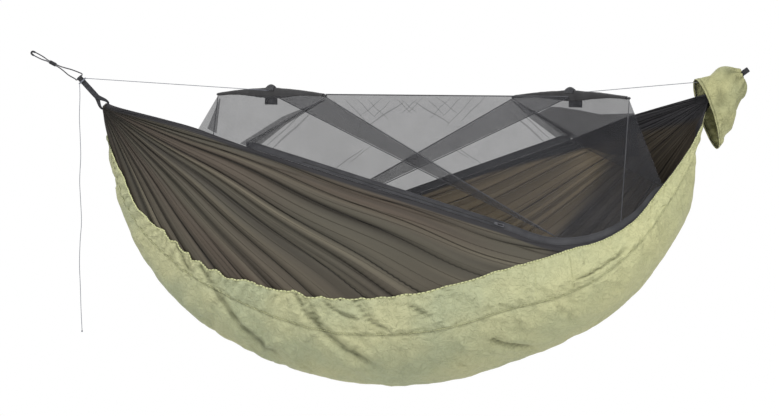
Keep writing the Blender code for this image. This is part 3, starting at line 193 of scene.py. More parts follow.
def spans(known, steps):
    """Catmull-Rom: each span is a cubic whose end slopes are half the chord between the
    neighbours. The first and last points only give slopes."""
    t = np.linspace(0, 1, steps, endpoint=False).reshape((1, steps) + (1,) * (known.ndim - 1))
    a, b, c, d = (known[k:len(known) - 3 + k][:, None] for k in range(4))
    curve = (2 * b + (c - a) * t + (2 * a - 5 * b + 4 * c - d) * t ** 2
             + (3 * b - a - 3 * c + d) * t ** 3) / 2
    return curve.reshape((-1,) + known.shape[1:])


def smooth(points, steps=24, closed=False):
    """A curve of such spans through all the points."""
    known = np.array(points, float)
    if closed:
        return spans(np.concatenate([known[-1:], known, known[:2]]), steps)
    ends = 2 * known[:1] - known[1:2], 2 * known[-1:] - known[-2:-1]
    return np.concatenate([spans(np.concatenate([ends[0], known, ends[1]]), steps), known[-1:]])


def lengths(points):
    """How far along a polyline each of its points lies, from 0."""
    return np.concatenate([[0.0], np.cumsum(np.linalg.norm(np.diff(points, axis=0), axis=1))])


def at_lengths(points, where):
    """Points of a polyline at the given lengths along it."""
    run = lengths(points)
    return stacked(*(np.interp(where, run, column) for column in points.T))


def evenly(points, count):
    """Points at even distances along a polyline, ends included."""
    return at_lengths(points, np.linspace(0, lengths(points)[-1], count))


def trimmed(points, start, end, count):
    """The same, with a length left out at either end."""
    return at_lengths(points, np.linspace(start, lengths(points)[-1] - end, count))


def tangents(points, closed=False):
    """Directions along a path: at each point, the chord between its neighbours."""
    if closed:
        return unit(np.roll(points, -1, axis=0) - np.roll(points, 1, axis=0))
    return unit(np.gradient(points, axis=0))


def grid_normals(grid):
    """The step along the rows crossed with the step along the columns."""
    return unit(np.cross(np.gradient(grid, axis=0), np.gradient(grid, axis=1)))


def step(low, high, value):
    """0 below low, 1 above high, and the cubic 3t^2 - 2t^3 between."""
    t = np.clip((np.asarray(value, float) - low) / (high - low), 0, 1)
    return t * t * (3 - 2 * t)


def ripple(places, size, seed, count=16):
    """Soft unevenness from -1 to 1: the mean of plane waves about size long, each with
    its own heading and start."""
    picked = np.random.default_rng(seed)
    headings = unit(picked.normal(size=(count, places.shape[-1])))
    waves = TAU / (size * picked.uniform(0.6, 1.7, count))
    starts = picked.uniform(0, TAU, count)
    total = np.zeros(places.shape[:-1])
    for heading, wave, start in zip(headings, waves, starts):
        total += np.sin(places @ heading * wave + start)
    return total / count * 2.2


# Cloth coordinates: along from the left gather, y, and drop below the gathers' line

def world(points):
    """Cloth coordinates to metres: the gathers' line runs straight from left to right."""
    along, y, drop = np.moveaxis(np.asarray(points, float), -1, 0)
    z = LEFT_GATHER[1] + (RIGHT_GATHER[1] - LEFT_GATHER[1]) * along / CLOTH_LENGTH - drop
    return stacked(LEFT_GATHER[0] + along, y, z)


def turned(points):
    """The same shape on the far side: half a turn about the vertical middle line."""
    points = np.asarray(points, float)
    return stacked(CLOTH_LENGTH - points[..., 0], -points[..., 1], points[..., 2])


def turned_world(points):
    """Near-side cloth coordinates to metres on the far side."""
    return world(turned(points))


def edge_curve():
    """The near edge: a smooth curve through the tables, drawn in to the gathers."""
    curve = smooth(np.array([EDGE_ALONG_SHARES, EDGE_REACH_SHARES, EDGE_DROP_SHARES]).T
                   * [CLOTH_LENGTH, -EDGE_REACH, EDGE_DROP])
    to_end = np.minimum(curve[:, 0], CLOTH_LENGTH - curve[:, 0])
    curve[:, 1] -= GATHER_HALF_WIDTH * (1 + np.clip(to_end / GATHER_LENGTH, 0, 1))
    return curve


EDGE = edge_curve()
EDGE_LENGTH = lengths(EDGE)[-1]
EVEN = np.linspace(0, 1, ROWS)
ROW_SHARES = EVEN - np.sin(TAU * EVEN) / (2 * TAU)
EDGE_AT_ROWS = at_lengths(EDGE, ROW_SHARES * EDGE_LENGTH)
FINE_ROWS = smooth(ROW_SHARES[:, None])[:, 0]
FINE_EDGE = smooth(EDGE_AT_ROWS)


def edge_at(rows):
    """The near edge at row shares: the smooth curve through the solids' rows."""
    return stacked(*(np.interp(rows, FINE_ROWS, column) for column in FINE_EDGE.T))


def row_of(along_share):
    """Row share where the near edge has come a share of the cloth's length along."""
    return float(np.interp(along_share * CLOTH_LENGTH, FINE_EDGE[:, 0], FINE_ROWS))


def bottom_at(rows):
    """The lowest line: a superellipse hung between the gathers, drawn in a little near
    the left one and more near the right one, by smooth steps of its drop, and raised by
    bells of the row."""
    turn = math.pi * np.asarray(rows)
    along = CLOTH_LENGTH / 2 * (1 - blunt(np.cos(turn), 2 / 2.2))
    drop = CLOTH_DEPTH * np.abs(np.sin(turn)) ** (2 / 2.1)
    share = drop / CLOTH_DEPTH
    left = (LEFT_DRAW * step(0.08, 0.20, share) * (1 - step(0.55, 0.80, share))
            - GATHER_FLARE * (1 - step(0.02, 0.12, share)))
    right = (RIGHT_DRAW * step(0.0, 0.11, share) * (1 - 0.5 * step(0.22, 0.40, share))
             * (1 - step(0.58, 0.80, share)))
    along = along + np.where(np.cos(turn) > 0, left, -right)
    for middle, width, rise in BOTTOM_RISES:
        drop = drop - rise * bell(rows - middle, width)
    return stacked(along, 0.0, drop + GATHER_LENGTH / 2)


def cross_at(rows, line):
    """Cross share, 0 at the near edge and 0.5 at the bottom, of a line given by tables."""
    row, cross = smooth(np.array(line).T).T
    return np.arcsin(np.clip(np.interp(rows, row, cross), min(line[1]), max(line[1]))) / math.pi


def both_sides(rows, line):
    """Cross shares of a line of the near side and of the same one turned half round."""
    return cross_at(rows, line), 1 - cross_at(1 - rows, line)


def banded(lines, counts):
    """Cross shares split evenly between lines: a count for each band, and the last line."""
    bands = [start[:, None] + (end - start)[:, None] * np.linspace(0, 1, count, endpoint=False)
             for start, end, count in zip(lines, lines[1:], counts)]
    return np.concatenate(bands + [lines[-1][:, None]], axis=1)


def cloth_points(rows, crosses):
    """Cloth in cloth coordinates. In the side view a point lies on the straight line from
    edge to bottom, at the sine of its cross angle, and in depth on a quarter of an
    ellipse with a belly added."""
    near, far = edge_at(rows)[:, None], turned(edge_at(1 - rows))[:, None]
    edge = np.where((crosses < 0.5)[..., None], near, far)
    angle = math.pi * crosses
    surface = edge + (bottom_at(rows)[:, None] - edge) * np.sin(angle)[..., None]
    swell = BELLY * arch(rows)[:, None] ** 0.9
    reach = np.abs(edge[..., 1]) * np.abs(np.cos(angle)) + swell * np.abs(np.sin(2 * angle))
    surface[..., 1] = -np.sign(0.5 - crosses) * reach
    return surface


def outward(grid):
    """Normals that point down at the bottom of the cloth, so out everywhere."""
    out = grid_normals(grid)
    return -out if out[out.shape[0] // 2, out.shape[1] // 2, 2] > 0 else out


# Meshes

def grid_mesh(name, grid, closed_rows=False, closed_columns=False, scale=None, twist=0,
              shades=None, maps=None):
    """A grid of points as four-cornered faces, closed on itself in either direction.

    The map named sewn gives each corner its place in metres along the rows and columns.
    shades are values a point, maps are pairs a point, by name.
    """
    rows, columns = grid.shape[:2]
    i, j = (axis.ravel() for axis in np.meshgrid(
        np.arange(rows if closed_rows else rows - 1),
        np.arange(columns if closed_columns else columns - 1), indexing="ij"))
    across, along = np.stack([j, j + 1, j + 1, j], axis=1), np.stack([i, i, i + 1, i + 1], axis=1)
    corner = (along % rows) * columns + (across + np.where(along == rows, twist, 0)) % columns
    mesh = bpy.data.meshes.new(name)
    mesh.from_pydata(grid.reshape(-1, 3).tolist(), [], corner.tolist())
    mesh.shade_smooth()
    if scale is None:
        middle = grid[:, columns // 2], grid[rows // 2]
        scale = lengths(middle[0])[-1] / (rows - 1), lengths(middle[1])[-1] / (columns - 1)
    pairs = {"sewn": stacked(along * scale[0], across * scale[1])}
    pairs.update({label: values.reshape(-1, 2)[corner] for label, values in (maps or {}).items()})
    for label, values in pairs.items():
        layer = mesh.uv_layers.new(name=label)
        layer.data.foreach_set("uv", values.astype(np.float32).ravel())
    for label, values in (shades or {}).items():
        layer = mesh.attributes.new(label, "FLOAT", "POINT")
        layer.data.foreach_set("value", values.astype(np.float32).ravel())
    piece = bpy.data.objects.new(name, mesh)
    bpy.context.collection.objects.link(piece)
    return piece


def faced(piece, merge=0.00001):
    """Close the poles and seams of a piece and turn all its faces outwards."""
    work = bmesh.new()
    work.from_mesh(piece.data)
    bmesh.ops.remove_doubles(work, verts=work.verts, dist=merge)
    bmesh.ops.recalc_face_normals(work, faces=work.faces)
    work.to_mesh(piece.data)
    work.free()
    piece.data.shade_smooth()
    return piece


def walled(name, inner, outer, shades=None, maps=None, **more):
    """A closed wall between two skins: the outer grid, then the inner one, carried on
    round the rim, so that rows run out over one skin and back over the other. Both are
    split along the same diagonals, so that they don't cross where the wall is twisted."""
    def doubled(values):
        return {label: np.concatenate([one, one[:, ::-1]], axis=1)
                for label, one in (values or {}).items()}

    rows, columns = outer.shape[:2]
    strip = np.concatenate([outer, inner[:, ::-1]], axis=1)
    inside = np.repeat([[0.0, 1.0]], columns, axis=1) + np.zeros((rows, 1))
    piece = grid_mesh(name, strip, closed_columns=True, maps=doubled(maps),
                      shades={**doubled(shades), "inside": inside}, **more)
    work = bmesh.new()
    work.from_mesh(piece.data)
    faces = list(enumerate(work.faces))
    for over, method in ((True, "FIXED"), (False, "ALTERNATE")):
        skin = [face for k, face in faces if (k % (2 * columns) < columns) == over]
        bmesh.ops.triangulate(work, faces=skin, quad_method=method)
    work.verts.ensure_lookup_table()
    for start in (0, (rows - 1) * columns * 2):
        for k in range(columns - 1):
            end = start + 2 * columns - 1 - k
            ring = [work.verts[v] for v in (start + k, start + k + 1, end - 1, end)]
            work.faces.new(ring).smooth = True
    bmesh.ops.recalc_face_normals(work, faces=work.faces)
    work.to_mesh(piece.data)
    work.free()
    return piece


def hollow(name, outer, inner, **more):
    """A tube with an open bore: rings over the outer skin and back through the bore."""
    return faced(grid_mesh(name, np.concatenate([outer, inner[::-1]]), True, True, **more))


def rings(path, side, up, half_width, half_height, count):
    """Elliptical rings round a path: the cosine carries across, the sine upwards."""
    angle = turns(count)
    wide, high = (np.broadcast_to(half, len(path))[:, None, None]
                  for half in (half_width, half_height))
    across = np.cos(angle)[None, :, None] * np.broadcast_to(side, path.shape)[:, None]
    above = np.sin(angle)[None, :, None] * np.broadcast_to(up, path.shape)[:, None]
    return path[:, None] + wide * across + high * above


def carried_frame(path, closed=False):
    """Two directions square to a path that turn with it as little as they can: each is
    the last one with its part along the new heading taken off."""
    heading = tangents(path, closed)
    side = np.empty_like(path)
    way = np.cross(heading[0], [0.123, 0.97, 0.21])
    for k, ahead in enumerate(heading):
        way = way - ahead * np.dot(way, ahead)
        way = way / np.linalg.norm(way)
        side[k] = way
    return side, np.cross(heading, side)


def pointed(path, skin):
    """Rings closed at both ends by the path's own ends, as many times as a ring has points."""
    first, last = (np.repeat(end[:, None], skin.shape[1], axis=1) for end in (path[:1], path[-1:]))
    return np.concatenate([first, skin, last])


def tube(name, path, radius, count=12, closed=False, flatten=1.0):
    """A round cord along a path. The ends of an open one are drawn in to a point."""
    side, up = carried_frame(path, closed)
    size = np.broadcast_to(np.asarray(radius, float), len(path))
    skin = rings(path, side, up, size, size * flatten, count)
    run = lengths(path)[-1] / max(len(path) - 1, 1)
    piece = grid_mesh(name, skin if closed else pointed(path, skin), closed, True,
                      scale=(run, 1 / count))
    return piece if closed else faced(piece)


# Finishes

def plain(colour):
    """A colour from its 0 to 255 screen values, as light."""
    share = np.array(colour, float) / 255
    light = np.where(share <= 0.04045, share / 12.92, ((share + 0.055) / 1.055) ** 2.4)
    return tuple(light) + (1.0,)


class Thread:
    """A socket in a finish. Sums and products of it, and the measures that are named
    below, add Math nodes."""

    def __init__(self, finish, socket):
        self.finish, self.socket = finish, socket

    def math(self, operation, first, second=0.0):
        return self.finish.node("ShaderNodeMath", {"operation": operation}, {0: first, 1: second})

    def __rsub__(self, other):
        return self.math("SUBTRACT", other, self)

    def held(self, low=0.0, high=1.0, start=0.0, end=1.0):
        """This value taken from the range low to high onto start to end, and held there."""
        return self.finish.node("ShaderNodeMapRange", {"clamp": True},
                                {0: self, 1: low, 2: high, 3: start, 4: end})


for name, operation in {
        "__add__": "ADD", "__radd__": "ADD", "__sub__": "SUBTRACT", "__mul__": "MULTIPLY",
        "__rmul__": "MULTIPLY", "least": "MINIMUM", "most": "MAXIMUM", "size": "ABSOLUTE",
        "wave": "SINE", "over": "GREATER_THAN"}.items():
    setattr(Thread, name, lambda thread, other=0.0, operation=operation:
            thread.math(operation, thread, other))


class Finish:
    """A material in the making: one Principled shader and the nodes that feed it."""

    def __init__(self, name, colour, roughness, **sockets):
        self.material = bpy.data.materials.new(name)
        self.material.use_nodes = True
        self.tree = self.material.node_tree
        self.shader = self.tree.nodes["Principled BSDF"]
        self.set(self.shader, {"Base Color": plain(colour), "Roughness": roughness})
        self.feed(**sockets)

    def set(self, node, sockets):
        for key, value in sockets.items():
            if isinstance(value, Thread):
                self.tree.links.new(value.socket, node.inputs[key])
            else:
                node.inputs[key].default_value = value

    def feed(self, **sockets):
        self.set(self.shader, {key.replace("_", " "): value for key, value in sockets.items()})

    def node(self, kind, settings=None, sockets=None, out=0):
        """Any node: its settings first, then the values or threads of its sockets."""
        made = self.tree.nodes.new(kind)
        for key, value in (settings or {}).items():
            setattr(made, key, value)
        self.set(made, sockets or {})
        return Thread(self, made.outputs[out])

    def places(self):
        return self.node("ShaderNodeTexCoord", out="Object")

    def sewn(self, label="sewn"):
        return self.node("ShaderNodeUVMap", {"uv_map": label})

    def shade(self, label):
        return self.node("ShaderNodeAttribute", {"attribute_name": label}, out="Fac")

    def stretched(self, vector, scale):
        return self.node("ShaderNodeMapping", None, {"Vector": vector, "Scale": scale})

    def part(self, vector, axis):
        return self.node("ShaderNodeSeparateXYZ", None, {0: vector}, out=axis)

    def waves(self, vector, axis, pitch):
        """A sine along one part of a map, once a pitch."""
        return (self.part(vector, axis) * (TAU / pitch)).wave()

    def noise(self, vector, scale, detail=2.0, rough=0.5, distortion=0.0):
        return self.node("ShaderNodeTexNoise", None, {
            "Vector": vector, "Scale": scale, "Detail": detail, "Roughness": rough,
            "Distortion": distortion})

    def paint(self, colour, *layers):
        """The base colour: one colour, and others laid over it in turn, each as far as
        its factor says."""
        base = plain(colour)
        for factor, over in layers:
            base = self.node("ShaderNodeMix", {"data_type": "RGBA"},
                             {"Factor": factor, 6: base, 7: plain(over)}, out=2)
        self.feed(Base_Color=base)

    def raised(self, *layers):
        """Bumps, each a height, its depth in metres and its strength, one upon the other."""
        normal = {}
        for height, depth, strength in layers:
            sockets = {"Height": height, "Distance": depth, "Strength": strength, **normal}
            normal = {"Normal": self.node("ShaderNodeBump", None, sockets)}
        self.set(self.shader, normal)
        return self.material


def ripstop(f):
    """Ripstop squares: a thin raised thread each cell, both ways, from 0 to 1."""
    along, across = (f.waves(f.sewn(), axis, 2 * RIPSTOP_CELL).size().held(0.0, 0.22, 1.0, 0.0)
                     for axis in (0, 1))
    return along.most(across)


def valleys(f, fan, width):
    """Painted shade along the valleys of a fan, also used as their bump: where the size of
    the sine of its phase, times the reach, is under the width, and darkest under a third of
    it. Each valley has its own strength."""
    apart = f.waves(fan, 0, 2.0).size() * f.part(fan, 1)
    own = f.noise(f.stretched(fan, (1.37, 0.9, 1.0)), 1.0, 1.0)
    core = apart.held(0.0, width / 3, 1.0, 0.0)
    return (apart.held(0.0, width, 0.6, 0.0) + core * 0.6).least(1.0) * own.held(0.32, 0.50)


def body_nylon():
    """Grey-brown nylon of the hammock, with painted shine and painted shade in streaks along
    the folds and painted shade in their valleys and creases. Its hem is charcoal, its inner
    side is painted lighter for the light that comes through, and its right end is painted
    charcoal as shade."""
    f = Finish("body_nylon", (76, 72, 62), 0.58, Specular_IOR_Level=0.16)
    fans, fine_fans = ([f.sewn(label + side) for side in ("left", "right")]
                       for label in ("fan_", "fine_"))
    mix = f.shade("fan_mix")

    def mixed(left, right):
        return left * (1 - mix) + right * mix

    # Noise streaks along the folds: painted shine and painted shade in the colour, and also
    # roughness and bump
    streak = mixed(*(f.noise(f.stretched(fan, (1.3, 0.32, 1.0)), 1.0, 2.0, 0.55) for fan in fans))
    patch = mixed(*(f.noise(f.stretched(fan, (0.30, 0.7, 1.0)), 1.0, 1.0) for fan in fans))
    # Deep and thin valley lines: painted shade in the folds' valleys, and their bumps
    deep = mixed(*(valleys(f, fan, 0.30) for fan in fans))
    thin = mixed(*(valleys(f, fan, 0.22) for fan in fine_fans))
    to_edge, along = (f.part(f.sewn("edges"), axis) for axis in (0, 1))
    # A line 44 mm in from the edge, from about a tenth to two thirds along: painted shade of a fold
    # below the hem, joined to the deep valleys
    hem_line = (to_edge - 0.044).size().held(0.0, 0.006, 1.0, 0.0)
    hem_line = hem_line * along.held(0.10, 0.25) * along.held(0.62, 0.72, 1.0, 0.0)
    deep = deep.most(hem_line * streak.held(0.38, 0.55) * 0.8)
    # Painted shade in creases and valleys, weaker on the inner side
    creases = f.shade("crease_shade").most(deep * 0.85) * (1 - f.shade("inside") * 0.4)
    f.paint((78, 74, 64), (patch.held(0.42, 0.66), (81, 71, 62)),
            (streak.held(0.52, 0.74) * 0.8, (112, 105, 90)),
            (streak.held(0.47, 0.34) * 0.75, (50, 46, 40)),
            # Painted light on the inner side, for the light that comes through the cloth
            (f.shade("inside") * 0.6, (186, 166, 130)),
            (thin * 0.50, (30, 27, 23)), (creases, (16, 14, 12)),
            # Painted charcoal shade at the right end, then the charcoal hem
            (f.shade("end_shade") * 0.9, (29, 28, 31)), (f.shade("hem"), (46, 45, 47)))
    grain = f.noise(f.places(), 420.0, 2.0)
    crinkle = f.noise(f.places(), 34.0, 3.0, 0.6, 0.8)
    f.feed(Roughness=streak.held(0.3, 0.7, 0.48, 0.62))
    return f.raised((streak, 0.007, 0.6), (1 - deep, 0.006, 0.7), (1 - thin, 0.003, 0.6),
                    (crinkle, 0.004, 0.35), (grain * 0.6 + ripstop(f) * 0.4, 0.0003, 0.5))


def crinkled(f, scale, rough):
    """Small crisp wrinkles, and the thin ridges where their noise is near its middle."""
    crinkle = f.noise(f.places(), scale, 4.0, rough, 1.3)
    return crinkle, (crinkle - 0.5).size().held(0.0, 0.045, 1.0, 0.0)


def quilt_nylon():
    """Olive nylon over soft filling: small crisp wrinkles, painted highlights where the small
    bumps stand high, painted shade along the wrinkle ridges and in the creases, and painted
    light towards the right end.
    """
    f = Finish("quilt_nylon", (170, 171, 131), 0.66, Specular_IOR_Level=0.22)
    places = f.places()
    crinkle, ridge = crinkled(f, 24.0, 0.64)
    small, patch = f.noise(places, 62.0, 3.0, 0.62, 0.9), f.noise(places, 4.5, 2.0, 0.5)
    # Painted light that grows towards the right end, from 1.5 to 2.3 m along
    painted_light_right = f.part(places, 0).held(1.5, 2.3)
    # The thin wrinkle ridges are painted darker, as their shade, and the creases get painted shade
    f.paint((167, 171, 138), (patch.held(0.38, 0.64), (182, 181, 142)),
            (painted_light_right * 0.6, (198, 196, 146)), (ridge * 0.30, (138, 140, 105)),
            # Painted highlights where the small bumps stand high
            (f.shade("crease_shade"), (84, 86, 60)), (small.held(0.55, 0.8) * 0.30, (198, 195, 152)))
    f.feed(Roughness=small.held(0.2, 0.8, 0.58, 0.72))
    return f.raised((crinkle, 0.013, 0.85), (small, 0.007, 0.8), (ripstop(f), 0.0002, 0.35))


def sack_nylon():
    """Olive nylon of the sack: yellower at its foot, with painted shade on its inner side, in
    its creases and along its wrinkle ridges.
    """
    f = Finish("sack_nylon", (160, 161, 119), 0.62, Specular_IOR_Level=0.24)
    places = f.places()
    crinkle, ridge = crinkled(f, 28.0, 0.62)
    patch, foot = f.noise(places, 9.0, 2.0), f.part(places, 2).held(-0.20, -0.33)
    # The foot is yellower, and the thin wrinkle ridges are painted darker, as their shade
    f.paint((153, 154, 116), (patch.held(0.36, 0.66), (168, 166, 122)),
            (foot * 0.6, (196, 194, 146)), (ridge * 0.35, (126, 127, 90)),
            # Painted shade on the inner side and in the creases
            (f.shade("inside") * 0.55, (70, 70, 48)), (f.shade("crease_shade"), (84, 85, 56)))
    f.feed(Roughness=crinkle.held(0.3, 0.7, 0.56, 0.70))
    return f.raised((crinkle, 0.012, 0.7), (ripstop(f), 0.0002, 0.35))


def net_mesh(name, share, colour=(52, 52, 55)):
    """Fine knitted net: mostly open, with a hole every 1.4 mm both ways."""
    f = Finish(name, colour, 0.8, Specular_IOR_Level=0.2)
    knit = f.sewn("knit")
    threads = f.waves(knit, 0, KNIT_PITCH) * f.waves(knit, 1, KNIT_PITCH)
    cloudy = f.noise(f.places(), 9.0, 3.0, 0.6)
    f.paint(colour, (cloudy, np.add(colour, 14)))
    f.feed(Alpha=(threads * 0.16 + cloudy * 0.12 + (share - 0.06)).held(0.0, 1.0))
    f.material.surface_render_method = "DITHERED"
    return f.raised((cloudy, 0.004, 0.3))


def band_tape(name, colour, stitches=True):
    """Woven tape with a line of stitches near each edge. The map's second value runs
    across the tape."""
    f = Finish(name, colour, 0.72, Specular_IOR_Level=0.3, Sheen_Weight=0.1)
    sewn = f.sewn()
    rib = f.waves(sewn, 0, KNIT_PITCH) * 0.5 + 0.5
    worn = f.noise(f.places(), 14.0, 3.0, 0.6)
    tints = [(worn.held(0.35, 0.7), np.add(colour, 18))]
    bumps = [(rib, 0.0002, 0.5), (worn, 0.002, 0.3)]
    if stitches:
        sewing = f.shade("stitch") * f.waves(sewn, 0, STITCH_PITCH).over(-0.2)
        tints.append((sewing * 0.6, np.multiply(colour, 0.45)))
        bumps.insert(0, (sewing, 0.0006, 0.8))
    f.paint(colour, *tints)
    return f.raised(*bumps)


def webbing(name, colour):
    """Flat webbing: ribs across it in two staggered rows, a little lint."""
    f = Finish(name, colour, 0.78, Specular_IOR_Level=0.25, Sheen_Weight=0.15)
    sewn = f.sewn()
    rib = (f.part(sewn, 0) * (TAU / 0.0022) + f.waves(sewn, 1, 0.0050) * 1.1).wave() * 0.5 + 0.5
    lint = f.noise(f.places(), 240.0, 2.0)
    # The ribs are painted lighter, a painted highlight on their crests, and the lint is real tone
    f.paint(np.multiply(colour, 0.8), (rib * 0.35 + lint * 0.3, np.add(colour, 24)))
    f.feed(Roughness=lint.held(0.3, 0.7, 0.7, 0.86))
    return f.raised((rib, 0.0007, 0.9), (lint, 0.0002, 0.4))


def braid(name, colour, rounds, pitch, depth):
    """Braided cord: strands that cross each other round it. The map's second value goes
    once round the cord."""
    f = Finish(name, colour, 0.7, Specular_IOR_Level=0.3, Sheen_Weight=0.1)
    sewn = f.sewn()
    along, around = f.part(sewn, 0) * (TAU / pitch), f.part(sewn, 1) * (TAU * rounds)
    strands = (along + around).wave().most((along - around).wave()) * 0.5 + 0.5
    dust = f.noise(f.places(), 300.0, 2.0)
    # Painted shade between the strands and painted highlight on them, and the dust is real tone
    f.paint(np.multiply(colour, 0.5), (strands * 0.8 + dust * 0.2, np.multiply(colour, 1.25)))
    return f.raised((strands, depth, 0.9))


def moulded(name, colour, roughness, metallic=0.0):
    """Moulded or cast surface: fine grain, and small lighter scuffs."""
    f = Finish(name, colour, roughness, Metallic=metallic)
    grain, scuff = f.noise(f.places(), 900.0, 3.0), f.noise(f.places(), 160.0, 4.0, 0.7)
    f.paint(colour, (scuff.held(0.62, 0.78) * 0.6, np.add(colour, 60)))
    f.feed(Roughness=scuff.held(0.3, 0.8, roughness - 0.08, roughness + 0.14))
    return f.raised((grain, 0.0002, 0.5))


def rod_glass():
    """Spreader rod: glass fibre drawn along the rod, with a satin skin."""
    f = Finish("rod_glass_fibre", (62, 63, 68), 0.38, Coat_Weight=0.3)
    fibres = f.noise(f.stretched(f.places(), (30.0, 30.0, 900.0)), 1.0, 3.0)
    f.paint((50, 51, 56), (fibres, (84, 85, 90)))
    f.feed(Roughness=fibres.held(0.3, 0.7, 0.32, 0.46))
    return f.raised((fibres, 0.0001, 0.5))


FINISHES = {
    "body": body_nylon(),
    "quilt": quilt_nylon(),
    "sack": sack_nylon(),
    "net": net_mesh("mosquito_net", 0.45),
    "end_net": net_mesh("end_net", 0.54),
    "strip": net_mesh("net_strip", 0.66, (40, 40, 43)),
    "layers": net_mesh("layered_net", 0.76, (38, 38, 41)),
    "hem": band_tape("hem_band_tape", (50, 50, 53)),
    "seam": band_tape("seam_tape", (66, 66, 69), False),
    "pleat": net_mesh("pleated_net", 0.34, (40, 40, 43)),
    "sleeve": band_tape("sleeve_fabric", (38, 37, 38), False),
    "patch": band_tape("tab_webbing", (34, 34, 37)),
    "webbing": webbing("black_webbing", (40, 40, 44)),
    "rope": braid("suspension_braid", (58, 58, 62), 2, 0.006, 0.0007),
    "whipping": braid("whipping_thread", (40, 40, 43), 0, 0.0012, 0.0004),
    "line": braid("grey_cord_braid", (104, 106, 114), 2, 0.0030, 0.0003),
    "drawcord": braid("drawcord_braid", (42, 42, 44), 2, 0.0032, 0.0004),
    "hem_cord": braid("elastic_hem", (166, 167, 126), 1, 0.011, 0.0010),
    "coil": moulded("zip_coil", (34, 34, 36), 0.5),
    "cap": moulded("cap_plastic", (36, 36, 38), 0.5),
    "slider": moulded("slider_metal", (92, 92, 96), 0.36, 0.9),
    "pull": moulded("pull_metal", (104, 104, 108), 0.34, 0.9),
    "rod": rod_glass(),
}


def dress(piece, finish, body, *nodes):
    """Finish a piece, let it ride on a body and stand for the solids it dresses."""
    piece.data.materials.clear()
    piece.data.materials.append(FINISHES[finish])
    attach(piece, body)
    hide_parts(*nodes)
    return piece


# Camera, light and floor

def set_camera():
    """The photograph's view: square on, from far off at the height of the hanging eye,
    and aimed at the middle of the object."""
    centre, height, away = 1.3262, -0.5766, 24.0
    pixels, pixel = 779, 0.00372
    data = bpy.data.cameras.new("camera")
    eye = np.array([centre, -away, 0.01])
    reach = float(np.linalg.norm(np.array([centre, 0.0, height]) - eye))
    data.sensor_width, data.lens = 36.0, 36.0 * reach / (pixels * pixel)
    data.clip_start, data.clip_end = 0.1, 200.0
    camera = bpy.data.objects.new("camera", data)
    camera.location = eye
    camera.rotation_euler = (math.pi / 2 - math.atan2(eye[2] - height, away), 0.0, 0.0)
    bpy.context.collection.objects.link(camera)
    bpy.context.scene.camera = camera


def lamp(name, place, target, size, watts):
    """A round lamp at a place, turned towards its target."""
    data = bpy.data.lights.new(name, "AREA")
    data.shape, data.size, data.energy = "DISK", size, watts
    piece = bpy.data.objects.new(name, data)
    piece.location = place
    x, y, z = unit(np.subtract(target, place))
    piece.rotation_euler = (math.atan2(math.hypot(x, y), -z), 0.0, math.atan2(-x, y))
    bpy.context.collection.objects.link(piece)


def unseen_share(tree):
    """1 for rays straight from the camera, or through glass or off metal, else 0."""
    path = tree.nodes.new("ShaderNodeLightPath")
    seen = path.outputs["Is Camera Ray"]
    for name in ("Is Glossy Ray", "Is Transmission Ray"):
        both = tree.nodes.new("ShaderNodeMath")
        both.operation = "MAXIMUM"
        tree.links.new(seen, both.inputs[0])
        tree.links.new(path.outputs[name], both.inputs[1])
        seen = both.outputs[0]
    return seen


def mixed_surface(tree, factor, first, second, end):
    """Two shaders mixed by a factor into the end node of a tree."""
    mixed = tree.nodes.new("ShaderNodeMixShader")
    for k, socket in enumerate((factor, first.outputs[0], second.outputs[0])):
        tree.links.new(socket, mixed.inputs[k])
    tree.links.new(mixed.outputs[0], end.inputs["Surface"])


def set_world():
    """White to the camera, soft grey light to the object."""
    world_light = bpy.data.worlds.new("studio")
    world_light.use_nodes = True
    tree = world_light.node_tree
    tree.nodes.clear()
    skies = []
    for colour, strength in (((0.96, 0.98, 1.0, 1.0), 0.52), ((1.0, 1.0, 1.0, 1.0), 1.0)):
        sky = tree.nodes.new("ShaderNodeBackground")
        sky.inputs["Color"].default_value, sky.inputs["Strength"].default_value = colour, strength
        skies.append(sky)
    mixed_surface(tree, unseen_share(tree), *skies, tree.nodes.new("ShaderNodeOutputWorld"))
    bpy.context.scene.world = world_light


def set_floor():
    """A pale floor that keeps the shadow near the object and runs out to white."""
    f = Finish("pale_floor", (236, 236, 236), 0.9, Specular_IOR_Level=0.1)
    centre = f.node("ShaderNodeMapping", None,
                    {"Vector": f.places(), "Location": (-1.33, 0.0, 1.7)})
    distance = f.node("ShaderNodeVectorMath", {"operation": "LENGTH"}, {0: centre}, out="Value")
    seen = distance.held(1.2, 3.4) * Thread(f, unseen_share(f.tree))
    mixed_surface(f.tree, seen.socket, f.shader, f.tree.nodes.new("ShaderNodeEmission"),
                  f.tree.nodes["Material Output"])
    floor = grid_mesh("floor", np.array([[[x, y, -1.7] for y in (-3.9, 3.9)] for x in (-2.6, 5.2)]))
    floor.data.materials.append(f.material)


set_camera()
set_world()
set_floor()
lamp("key", (-1.6, -4.2, 3.6), (1.3, 0.0, -0.6), 2.6, 270.0)
lamp("fill", (4.6, -3.6, 1.2), (1.3, 0.0, -0.6), 3.0, 90.0)
lamp("back", (1.3, 4.4, 3.0), (1.3, 0.0, -0.5), 3.0, 110.0)
bpy.context.scene.view_settings.view_transform = "Standard"


# Webbing, rope, knots and cords

class Hang:
    """Places near one end of the hammock: run from the webbing's tip towards the gather,
    rise across it in the side view, out towards +Y."""

    def __init__(self, tip, gather, mirror):
        self.tip = np.array([tip[0], 0.0, tip[1]])
        reach = np.array([gather[0], 0.0, gather[1]]) - self.tip
        self.length = float(np.linalg.norm(reach)) - GATHER_OFFSET
        self.run = unit(reach)
        self.rise = np.array([-self.run[2], 0.0, self.run[0]]) * mirror
        self.out = np.array([0.0, 1.0, 0.0])
        self.axes = np.stack([self.run, self.rise, self.out])

    def place(self, points):
        return self.tip + np.asarray(points, float) @ self.axes


